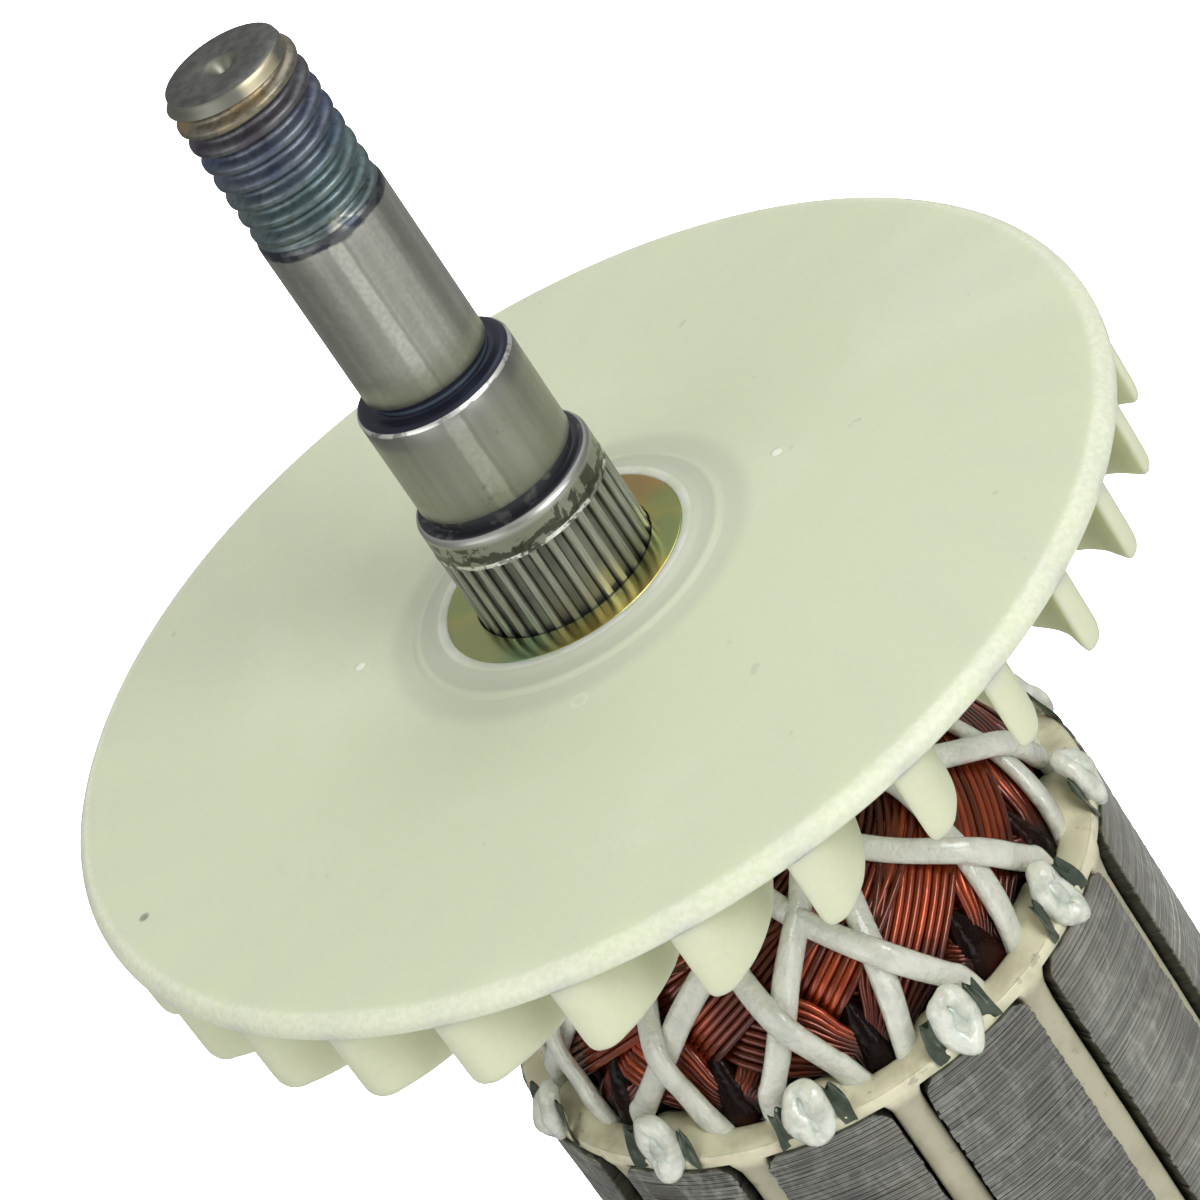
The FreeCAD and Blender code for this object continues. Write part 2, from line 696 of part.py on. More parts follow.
def make_lacing():
    """White lacing over the front coil heads: two strands crossing on each tooth, and its loop."""
    cord_r = cord_d.value / 2
    lift = head_thick.value / 2 + cord_gap.value + cord_r
    foot_r = top_mid_r.value + top_side_high.value / 2 + cord_gap.value + cord_r
    foot_z = core_top.value + plate_thick.value + cord_gap.value
    foot = slot_step * 0.31
    strands = {}
    for name, sense, raised in (("lacing_under", -1, 0.0), ("lacing_over", 1, 1.0)):
        points = [polar(foot_r, sense * foot, foot_z)]
        for turn, share, extra in ((0.12, 0.66, 0.4), (0.33, 0.0, 1.0), (0.62, -0.8, 0.2),
                                   (0.88, -1.2, 0.0)):
            radius, height = head_profile("outer", turn)
            tilt = head_normal("outer", turn)
            reach = lift + raised * extra * (cord_d.value + cord_gap.value)
            points.append(polar(radius + reach * tilt[0], sense * foot * share,
                                core_top.value + height + reach * tilt[1]))
        strands[name] = tube_along(points, cord_r, 6)
    for name in strands:
        copies = []
        for number in range(int(slot_count.value)):
            strand = strands[name].copy()
            strand.rotate(V3(0, 0, 0), V3(0, 0, 1), (number + 0.5) * slot_step)
            copies.append(strand)
        loose(name, Part.makeCompound(copies))

    thick = cord_d.value * 0.9
    half_wide = cord_d.value
    half_tall = loop_high.value / 2
    lean = math.radians(loop_tilt.value)
    seat_r = core_r.value - plate_edge.value + cord_gap.value * math.cos(lean)
    seat_z = core_top.value + plate_thick.value + cord_gap.value * math.sin(lean)
    above = half_tall - 1.3
    sections = []
    for depth, inset in ((0.0, 0.0), (0.55, 0.0), (1.0, 0.7)):
        wide = half_wide - inset
        tall = half_tall - inset
        narrow = wide * 0.45
        short = tall * 0.55
        ring_points = [(wide, -short), (wide, short), (narrow, tall), (-narrow, tall),
                       (-wide, short), (-wide, -short), (-narrow, -tall), (narrow, -tall)]
        section = []
        for aside, up in ring_points:
            out = thick * depth
            rise = above + up
            section.append(V3(seat_r + out * math.cos(lean) - rise * math.sin(lean), aside,
                              seat_z + out * math.sin(lean) + rise * math.cos(lean)))
        sections.append(section)
    bead = flat_faced(sections, False)
    copies = []
    for number in range(int(slot_count.value)):
        loop = bead.copy()
        loop.rotate(V3(0, 0, 0), V3(0, 0, 1), (number + 0.5) * slot_step)
        copies.append(loop)
    loose("lacing_loops", Part.makeCompound(copies))


def make_commutator():
    """Moulded hub with its copper bars and the leads that come to their hooks."""
    body = new_body("commutator_hub")
    profile = new_sketch(body, "hub_profile", "XZ_Plane")
    inner = core_shaft_d / 2 + press_gap
    under = com_d / 2 - bar_deep - bar_seat
    outline(profile, [(inner, com_low), (under, com_low), (under, com_top), (inner, com_top)])
    turned(body, "Revolution", "hub", profile)

    track = com_d.value / 2
    root = track - bar_deep.value
    hook = hook_d.value / 2
    foot = com_low.value
    neck = com_top.value - hook_wide.value
    top = com_top.value
    corners = [(root, foot), (track, foot), (track, neck), (hook, neck), (hook, top), (root, top)]
    pitch = 360 / bar_count.value
    half = pitch / 2 - math.degrees(bar_gap.value / track) / 2
    edges = []
    for angle in (-half, half):
        edges.append([polar(radius, angle, height) for radius, height in corners])
    bar = flat_faced(edges, False)
    copies = []
    for number in range(int(bar_count.value)):
        one = bar.copy()
        one.rotate(V3(0, 0, 0), V3(0, 0, 1), (number + 0.5) * pitch)
        copies.append(one)
    loose("commutator_bars", Part.makeCompound(copies))

    radius, height = head_profile("outer", 0.55)
    tilt = head_normal("outer", 0.55)
    reach = head_thick.value / 2 + lead_d.value / 2 + cord_gap.value
    start_r = radius + reach * tilt[0]
    start_z = core_low.value - height - reach * tilt[1]
    hook_mid = hook - lead_d.value
    copies = []
    for number in range(int(bar_count.value)):
        place = (number + 0.5) * pitch
        points = [polar(start_r, place - pitch * 0.6, start_z),
                  polar(hook_mid, place, top + press_gap.value)]
        copies.append(tube_along(points, lead_d.value / 2, 4))
    loose("winding_leads", Part.makeCompound(copies))


make_shaft()
make_fan()
make_fan_sleeve()
make_tube()
make_core()
make_end_insulation("front_end_insulation", core_top, 1, True)
make_end_insulation("rear_end_insulation", core_low, -1, False)
make_slot_pieces()
make_coils()
make_lacing()
make_commutator()
doc.recompute()

for item in doc.Objects:
    if "Invalid" in item.State or "Error" in item.State:
        raise RuntimeError(item.Name + " could not be worked out")
pieces = [item for item in doc.Objects
          if item.TypeId in ("PartDesign::Body", "Part::Feature")]
for piece in pieces:
    if piece.Shape.isNull() or not piece.Shape.isValid() or not piece.Shape.Solids:
        raise RuntimeError(piece.Label + " has no sound solid")
for piece in pieces:
    piece.Shape.exportStep("parts/" + piece.Label + ".step")
print(len(pieces), "nodes,", sum(len(piece.Shape.Solids) for piece in pieces), "solids")
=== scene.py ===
"""Looks of a motor armature, built round its packed CAD part.

Laid out as an add-on and run as a script.
"""

import math

import bmesh
import bpy
import numpy as np
from bpy.props import FloatProperty, FloatVectorProperty, IntProperty, PointerProperty
from bpy.types import Operator, Panel, PropertyGroup
from mathutils import Matrix, Vector


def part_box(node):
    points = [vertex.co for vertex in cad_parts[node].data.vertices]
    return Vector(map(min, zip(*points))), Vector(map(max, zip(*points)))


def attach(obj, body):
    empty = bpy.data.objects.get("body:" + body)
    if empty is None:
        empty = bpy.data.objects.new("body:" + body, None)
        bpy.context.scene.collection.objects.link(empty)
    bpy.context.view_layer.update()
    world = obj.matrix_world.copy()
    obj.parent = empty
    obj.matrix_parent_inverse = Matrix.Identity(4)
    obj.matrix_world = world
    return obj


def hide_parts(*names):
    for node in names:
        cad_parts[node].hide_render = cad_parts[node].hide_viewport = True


bl_info = {
    "name": "Motor armature",
    "version": (1, 0, 0),
    "blender": (4, 5, 0),
    "location": "3D View > Sidebar > Armature",
    "description": "Builds the looks of a motor armature round its CAD frame",
    "category": "Object",
}

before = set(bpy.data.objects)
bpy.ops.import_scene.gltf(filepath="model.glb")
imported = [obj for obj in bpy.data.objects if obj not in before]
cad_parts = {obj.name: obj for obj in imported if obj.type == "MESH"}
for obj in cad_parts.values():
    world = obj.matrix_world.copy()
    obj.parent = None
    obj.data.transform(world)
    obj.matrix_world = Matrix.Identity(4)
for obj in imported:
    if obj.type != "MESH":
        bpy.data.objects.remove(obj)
MM = 0.001
TURN = 2 * math.pi
SLOTS = 12
PITCH = TURN / SLOTS
SHEET = 0.52  # thickness of one lamination in millimetres


# ---------------------------------------------------------------- sizes and colours


def length(name, default, description):
    """A size in metres, given here in millimetres."""
    return FloatProperty(name=name, description=description, default=default * MM, min=0.0,
                         unit="LENGTH", precision=5)


def angle(name, default, description):
    """An angle in radians, given here in degrees."""
    return FloatProperty(name=name, description=description, default=math.radians(default),
                         unit="ROTATION")


def colour(name, default, description):
    """A colour as linear light."""
    return FloatVectorProperty(name=name, description=description, default=default, size=3,
                               subtype="COLOR", min=0.0, max=1.0)


class ShaftSizes(PropertyGroup):
    """Sizes of the shaft."""

    thread_r: length("Thread radius", 5.9, "Radius over the thread's crests")
    thread_deep: length("Thread depth", 0.86, "Depth of the thread's grooves")
    thread_pitch: length("Thread pitch", 1.93, "Rise of the thread in one turn")
    thread_phase: length("Thread phase", 37.73, "Height of a crest at angle nought")
    pinion_r: length("Pinion seat radius", 6.0, "Radius of the ground seat under the thread")
    seat_r: length("Bearing seat radius", 7.5, "Radius of the drive-end bearing seat")
    collar_r: length("Collar radius", 8.5, "Radius of the collar and the flutes' crests")
    flute_deep: length("Flute depth", 0.5, "Depth of the grooves under the fan")
    flute_count: IntProperty(name="Flutes", description="Number of grooves", default=30)
    flute_start: angle("Flute angle", -85.0, "Angle of the middle of one land")
    core_r: length("Core length radius", 8.0, "Radius of the shaft in the core")
    rear_r: length("Rear seat radius", 6.0, "Radius of the commutator-end bearing seat")


class FanSizes(PropertyGroup):
    """Sizes of the fan."""

    blade_count: IntProperty(name="Blades", description="Number of blades", default=29)
    blade_start: angle("Blade angle", 0.7, "Angle that the first blade is turned by")
    blade_end: length("Blade depth", 7.5, "Height of a blade at the rim, under the disc")
    blade_slope: FloatProperty(name="Blade slope", description="Fall of a blade's lower edge",
                               default=0.15)
    blade_round: length("Blade round", 1.1, "Height of the round along a blade's lower edge")


class CoreSizes(PropertyGroup):
    """Sizes of the core and its insulation."""

    sheet: length("Lamination", SHEET, "Thickness of one lamination")
    mouth: length("Slot mouth", 3.6, "Width of a slot's mouth")
    mouth_r: length("Slot mouth's foot", 27.6, "Radius where the mouth opens into the slot")
    wide_r: length("Slot shoulder", 26.6, "Radius of the slot's widest place")
    wide: length("Slot width", 8.2, "Width of a slot at its widest")
    root_r: length("Slot root", 15.4, "Radius of a slot's bottom")
    root: length("Slot root width", 4.4, "Width of a slot's bottom")
    rim_r: length("Insulation radius", 29.45, "Outer radius of the end insulation")
    rim_high: length("Insulation height", 1.4, "Height of the end insulation at a slot")
    lug_high: length("Lug height", 2.75, "Height of the end insulation at a tooth")
    strip_wide: length("Strip width", 3.0, "Width of a slot closing strip")
    strip_sunk: length("Strip depth", 1.3, "How far a strip lies under the core's surface")


class WindingSizes(PropertyGroup):
    """Sizes of the coils and their lacing."""

    wire_d: length("Wire", 0.78, "Diameter of a wire over its enamel")
    head_thick: length("Head thickness", 3.8, "Thickness of a coil's head")
    head_out: length("Head straight", 3.0, "Straight height of a head over the core")
    head_high: length("Head height", 11.0, "Height of a head over its straight part")
    nose_r: length("Nose radius", 15.0, "Radius of a head's inner end")
    foot_r: length("Foot radius", 23.68, "Radius of the middle of a coil's outer side")
    low_r: length("Low foot radius", 18.28, "Radius of the middle of a coil's inner side")
    cord_d: length("Cord", 2.4, "Width of the lacing cord")
    loop_high: length("Loop height", 6.5, "Length of a lacing loop")
    span: angle("Coil span", 150.0, "Angle between a coil's two sides")


class RearSizes(PropertyGroup):
    """Sizes of the commutator."""

    bar_count: IntProperty(name="Bars", description="Number of copper bars", default=24)
    track_r: length("Track radius", 21.0, "Radius of the brush track")
    bar_deep: length("Bar depth", 5.5, "Depth of a bar under its track")
    bar_gap: length("Bar gap", 0.7, "Gap between two bars")
    hook_r: length("Hook radius", 23.5, "Radius over the bars' hooks")
    hook_wide: length("Hook width", 3.0, "Width of a bar's hook along the axis")
    lead_d: length("Lead", 1.1, "Diameter of a winding lead")


class Colours(PropertyGroup):
    """Colours of the materials, as linear light."""

    steel: colour("Steel", (0.50, 0.50, 0.455), "Ground steel of the shaft")
    scale: colour("Blue-black", (0.030, 0.034, 0.052), "Heat scale in the reliefs")
    gold: colour("Straw", (0.42, 0.31, 0.15), "Straw tint of the thread's first turn")
    violet: colour("Violet", (0.090, 0.062, 0.095), "Violet tint of the next turns")
    navy: colour("Navy", (0.090, 0.120, 0.225), "Blue tint of the middle turns")
    teal: colour("Teal", (0.175, 0.245, 0.255), "Grey-green tint of the last turns")
    nylon: colour("Nylon", (0.680, 0.730, 0.535), "Fan moulding")
    edge: colour("Rim", (0.800, 0.840, 0.665), "Paler rim of the fan")
    zinc: colour("Zinc", (0.68, 0.56, 0.17), "Yellow zinc finish of the sleeve")
    zinc_green: colour("Zinc, green", (0.42, 0.50, 0.20), "Greenish part of that finish")
    sheet: colour("Laminations", (0.66, 0.655, 0.60), "Ground edges of the laminations")
    cream: colour("Insulation", (0.80, 0.755, 0.545), "Cream end insulation and strips")
    film: colour("Film", (0.018, 0.036, 0.018), "Green slot liner film")
    # lit and shaded copies of the wire's enamel, for painted light and shade
    enamel: colour("Enamel", (0.50, 0.078, 0.020), "Wire enamel in the light")
    enamel_shaded: colour("Enamel, deep", (0.040, 0.0045, 0.0025), "Wire enamel under varnish")
    # varnish also paints the shade at the wires' feet and inside the heads
    varnish: colour("Varnish", (0.006, 0.0025, 0.002), "Varnish pools")
    cord: colour("Cord", (0.76, 0.765, 0.67), "Lacing cord")
    loop: colour("Loop", (0.78, 0.80, 0.70), "Lacing loops")
    moulding: colour("Moulding", (0.055, 0.022, 0.012), "Commutator moulding")
    copper: colour("Copper", (0.70, 0.33, 0.18), "Commutator bars")
    tube: colour("Tube", (0.17, 0.20, 0.12), "Insulating tube")


class StageSizes(PropertyGroup):
    """Camera and lamps."""

    lens: FloatProperty(name="Lens", description="Focal length in millimetres", default=156.0)
    key: FloatProperty(name="Key lamp", description="Power of the key lamp in watts", default=5.6)
    fill: FloatProperty(name="Fill lamp", description="Power of the fill lamps", default=1.9)
    front: FloatProperty(name="Front lamp", description="Power of the low lamp", default=0.9)
    sky: FloatProperty(name="Sky", description="Strength of the even light", default=0.42)


# outline of one blade seen from above, in millimetres: from its outer end along the hollow side
# to its inner end and back
BLADE = ((50.64, 1.5), (50.52, 0.88), (50.15, 0.62), (49.55, 0.92), (48.5, 1.62), (47.0, 2.7),
         (45.0, 3.67), (43.0, 4.3), (40.0, 5.0), (37.0, 5.45), (34.8, 5.75), (34.0, 6.9),
         (34.8, 8.1), (37.1, 8.0), (40.2, 7.55), (44.2, 6.6), (47.35, 5.38), (49.4, 4.05),
         (50.25, 3.05), (50.58, 2.2), (50.64, 1.5))
BLADE_MIDDLE = ((35.2, 6.95), (37.0, 6.75), (40.0, 6.28), (43.0, 5.65), (45.0, 5.05),
                (47.0, 4.1), (48.5, 3.0), (49.3, 2.3))

# how far each strand of the lacing leans: way round the axis for each millimetre of rise, for the
# strands that start left (-1) and right (1) of the twelve teeth
LEANS = {-1: (0.52, 0.45, 0.60, 0.50, 0.42, 0.58, 0.66, 0.85, 0.70, 0.32, 0.34, 0.48),
         1: (0.50, 0.62, 0.44, 0.55, 0.60, 0.46, 0.38, 0.28, 0.45, 0.69, 0.80, 0.72)}

GROUPS = (
    ("armature_shaft", ShaftSizes),
    ("armature_fan", FanSizes),
    ("armature_core", CoreSizes),
    ("armature_winding", WindingSizes),
    ("armature_rear", RearSizes),
    ("armature_colours", Colours),
    ("armature_stage", StageSizes),
)


# ---------------------------------------------------------------- surfaces


def polar(radius, turn, height):
    """Points from radius, angle about the axis and height; the three may be arrays."""
    radius, turn, height = np.broadcast_arrays(radius, turn, height)
    return np.stack([radius * np.cos(turn), radius * np.sin(turn), height], axis=-1)


def smooth(value, low, high):
    """0 under low and 1 over high, with a soft step 3t^2 - 2t^3 between."""
    t = np.clip((value - low) / (high - low), 0, 1)
    return t * t * (3 - 2 * t)


def unit(vectors):
    """Vectors brought to length 1."""
    return vectors / np.linalg.norm(vectors, axis=-1, keepdims=True)


def spline(points, count):
    """Smooth line through points: a cubic between each two, with even slopes where they meet."""
    points = np.asarray(points, float)
    place = np.linspace(0, len(points) - 1, count)
    index = np.minimum(place.astype(int), len(points) - 2)
    t = (place - index)[:, None]
    slope = np.gradient(points, axis=0)
    return ((2 * t ** 3 - 3 * t ** 2 + 1) * points[index]
            + (t ** 3 - 2 * t ** 2 + t) * slope[index]
            + (3 * t ** 2 - 2 * t ** 3) * points[index + 1]
            + (t ** 3 - t ** 2) * slope[index + 1])


def turned_copies(points, angles):
    """Copies of points, turned about the axis by each of the angles, along a new first axis."""
    angles = np.asarray(angles, float)
    cos, sin = np.cos(angles), np.sin(angles)
    shape = (len(angles),) + (1,) * (points.ndim - 1)
    cos, sin = cos.reshape(shape), sin.reshape(shape)
    x, y, z = points[None, ..., 0], points[None, ..., 1], points[None, ..., 2]
    return np.stack([x * cos - y * sin, x * sin + y * cos, z + 0 * cos], axis=-1)


def tubes(lines, wide, thick, sides, power=1.0):
    """Closed tubes round lines of shape (tubes, steps, 3).

    A section is the superellipse (wide*|cos|^power, thick*|sin|^power) in the plane square to
    the line, with its thick side away from the axis.
    """
    along = unit(np.gradient(lines, axis=1))
    across = unit(np.cross(along, lines * (1, 1, 0)))
    up = np.cross(across, along)
    turn = TURN * (np.arange(sides) + 0.5) / sides
    c = np.sign(np.cos(turn)) * np.abs(np.cos(turn)) ** power
    s = np.sign(np.sin(turn)) * np.abs(np.sin(turn)) ** power
    wide = np.broadcast_to(wide, lines.shape[:2])[..., None, None]
    thick = np.broadcast_to(thick, lines.shape[:2])[..., None, None]
    return (lines[:, :, None] + across[:, :, None] * (wide * c[None, None, :, None])
            + up[:, :, None] * (thick * s[None, None, :, None]))


def lathe(profile, columns):
    """Closed ring surface: (radius, height) pairs of a closed profile, swept round the axis."""
    profile = np.asarray(profile, float)
    turn = TURN * np.arange(columns) / columns
    return polar(profile[:, None, 0], turn[None, :], profile[:, None, 1])[None]


def rounded(profile, edge):
    """Profile with each corner replaced by a curve of three steps that starts edge before it."""
    profile = np.asarray(profile, float)
    before = np.roll(profile, 1, axis=0)
    after = np.roll(profile, -1, axis=0)
    edge = np.broadcast_to(edge, (len(profile),))[:, None]
    start = profile + unit(before - profile) * edge
    stop = profile + unit(after - profile) * edge
    t = np.linspace(0, 1, 4)[None, :, None]
    curve = ((1 - t) ** 2 * start[:, None] + 2 * t * (1 - t) * profile[:, None]
             + t ** 2 * stop[:, None])
    return curve.reshape(-1, 2)


class Blank:
    """Collects grids of points into one mesh and turns it into a piece."""

    def __init__(self):
        self.points = []
        self.faces = []
        self.finish = []
        self.tones = []
        self.count = 0

    def add(self, grid, finish=0, tone=0.5, loop=False, caps=True):
        """Add shells: grid has shape (shells, rows, columns, 3) and closes round its columns.

        With loop it also closes round its rows; else its two ends get a face each.
        """
        shells, rows, columns = grid.shape[:3]
        number = np.arange(shells * rows * columns).reshape(shells, rows, columns) + self.count
        number = np.concatenate([number, number[:, :, :1]], axis=2)
        if loop:
            number = np.concatenate([number, number[:, :1]], axis=1)
        quads = np.stack([number[:, :-1, :-1], number[:, :-1, 1:], number[:, 1:, 1:],
                          number[:, 1:, :-1]], axis=-1).reshape(-1, 4)
        faces = quads.tolist()
        if caps and not loop:
            faces += number[:, 0, :columns][:, ::-1].tolist()
            faces += number[:, -1, :columns].tolist()
        self.points.append(grid.reshape(-1, 3))
        self.tones.append(np.broadcast_to(tone, grid.shape[:3]).reshape(-1))
        self.faces += faces
        self.finish += [finish] * len(faces)
        self.count += shells * rows * columns

    def piece(self, name, materials, slot, nodes, sharp=40.0):
        """Make the mesh and its object, parent it to the root body and hide the CAD nodes it
        stands for.
        """
        mesh = bpy.data.meshes.new(name)
        mesh.from_pydata(np.concatenate(self.points).tolist(), [], self.faces)
        shape = bmesh.new()
        shape.from_mesh(mesh)
        bmesh.ops.recalc_face_normals(shape, faces=shape.faces)
        shape.to_mesh(mesh)
        shape.free()
        mesh.attributes.new("tone", "FLOAT", "POINT")
        mesh.attributes["tone"].data.foreach_set("value", np.concatenate(self.tones))
        for material in materials:
            mesh.materials.append(material)
        mesh.polygons.foreach_set("material_index", self.finish)
        mesh.polygons.foreach_set("use_smooth", [True] * len(mesh.polygons))
        mesh.set_sharp_from_angle(angle=math.radians(sharp))
        mesh.update()
        piece = bpy.data.objects.new(name, mesh)
        bpy.context.scene.collection.objects.link(piece)
        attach(piece, "root")
        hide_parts(*nodes)
        return piece


# ---------------------------------------------------------------- materials


class Wire:
    """A socket of a node tree. Arithmetic on it adds the nodes that work it out."""

    def __init__(self, tree, socket=None):
        self.tree = tree
        self.socket = socket

    def node(self, kind, settings=None, values=None, output=0):
        """Add any node: its type, its settings, and what its inputs are set or linked to."""
        made = self.tree.nodes.new(kind)
        for name, setting in (settings or {}).items():
            setattr(made, name, setting)
        for key, value in (values or {}).items():
            if isinstance(value, Wire):
                self.tree.links.new(value.socket, made.inputs[key])
            else:
                made.inputs[key].default_value = value
        return Wire(self.tree, made.outputs[output] if len(made.outputs) else None)

    def math(self, operation, *operands):
        """Math on numbers, Vector Math if one of the operands is a vector or a colour."""
        kinds = [o.socket.type for o in operands if isinstance(o, Wire)]
        if "VECTOR" not in kinds and "RGBA" not in kinds:
            return self.node("ShaderNodeMath", {"operation": operation}, dict(enumerate(operands)))
        values = [o if isinstance(o, (Wire, tuple)) else (o, o, o) for o in operands]
        return self.node("ShaderNodeVectorMath", {"operation": operation}, dict(enumerate(values)))

    def __add__(self, other):
        return self.math("ADD", self, other)

    def __radd__(self, other):
        return self.math("ADD", other, self)

    def __sub__(self, other):
        return self.math("SUBTRACT", self, other)

    def __rsub__(self, other):
        return self.math("SUBTRACT", other, self)

    def __mul__(self, other):
        return self.math("MULTIPLY", self, other)

    def __rmul__(self, other):
        return self.math("MULTIPLY", other, self)

    def __pow__(self, other):
        return self.math("POWER", self, other)

    def step(self, low, high):
        """0 under low and 1 over high, softly."""
        return self.node("ShaderNodeMapRange", {"interpolation_type": "SMOOTHSTEP"},
                         {"Value": self, "From Min": low, "From Max": high})

    def band(self, low, high, soft):
        """1 between low and high, fading to 0 over soft outside them."""
        return self.step(low - soft, low) * (1 - self.step(high, high + soft))

    def over(self, low, high):
        """A step between two lengths in millimetres."""
        return self.step(low * MM, high * MM)

    def between(self, low, high, soft):
        """A band between two lengths in millimetres."""
        return self.band(low * MM, high * MM, soft * MM)

    def blend(self, first, second):
        """Colour first where this is 0, second where it is 1."""
        first, second = (tuple(c)[:3] + (1.0,) if not isinstance(c, Wire) else c
                         for c in (first, second))
        return self.node("ShaderNodeMix", {"data_type": "RGBA"}, {0: self, 6: first, 7: second}, 2)

    def noise(self, scale, detail=2.0, rough=0.5, bend=0.0):
        """Noise at this position, about 0.2 to 0.8."""
        return self.node("ShaderNodeTexNoise", None,
                         {"Vector": self, "Scale": scale, "Detail": detail, "Roughness": rough,
                          "Distortion": bend})


class Paint:
    """A new material with its position, radius, angle and height sockets."""

    def __init__(self, name):
        self.material = bpy.data.materials.new(name)
        self.material.use_nodes = True
        self.tree = self.material.node_tree
        self.tree.nodes.clear()
        self.start = Wire(self.tree)
        self.place = self.start.node("ShaderNodeTexCoord", output=3)
        parts = [self.start.node("ShaderNodeSeparateXYZ", None, {0: self.place}, i)
                 for i in range(3)]
        self.x, self.y, self.z = parts
        self.radius = (self.x * self.x + self.y * self.y) ** 0.5
        self.turn = self.start.math("ARCTAN2", self.y, self.x)

    def tone(self):
        """The mesh's own tone attribute."""
        return self.start.node("ShaderNodeAttribute", {"attribute_name": "tone"}, output=2)

    def about(self, degrees, wide, soft):
        """1 within wide degrees of an angle about the axis, fading over soft degrees."""
        away = self.start.math("COSINE", self.turn - math.radians(degrees))
        inner = math.cos(math.radians(wide))
        outer = math.cos(math.radians(wide + soft))
        return away.step(outer, inner)

    def spot(self, x, y, z, size, soft):
        """1 within size of a place, fading over soft, all in millimetres."""
        away = self.start.node("ShaderNodeVectorMath", {"operation": "DISTANCE"},
                               {0: self.place, 1: (x * MM, y * MM, z * MM)}, 1)
        return 1 - away.over(size, size + soft)

    def unrolled(self, around, along, third=0.0):
        """Position unrolled round the axis: angle times around, height times along."""
        return self.start.node("ShaderNodeCombineXYZ", None,
                               {0: self.turn * around, 1: self.z * along, 2: third})

    def greater(self, first, second):
        """The greater of two masks."""
        return self.start.math("MAXIMUM", first, second)

    def finish(self, bump=None, distance=0.0002, strength=1.0, **values):
        """Principled shader with the given inputs, and a bump from a height socket."""
        if bump is not None:
            values["Normal"] = self.start.node(
                "ShaderNodeBump", None,
                {"Strength": strength, "Distance": distance, "Height": bump})
        values = {key.replace("_", " "): value for key, value in values.items()}
        if "Base Color" in values and not isinstance(values["Base Color"], Wire):
            values["Base Color"] = tuple(values["Base Color"])[:3] + (1.0,)
        shader = self.start.node("ShaderNodeBsdfPrincipled", None, values)
        self.start.node("ShaderNodeOutputMaterial", None, {0: shader})
        return self.material


def layers(tint, *coats):
    """Coats laid over a colour: each is a mask and the colour that shows where the mask is 1."""
    for mask, coat in coats:
        tint = mask.blend(tint, coat)
    return tint


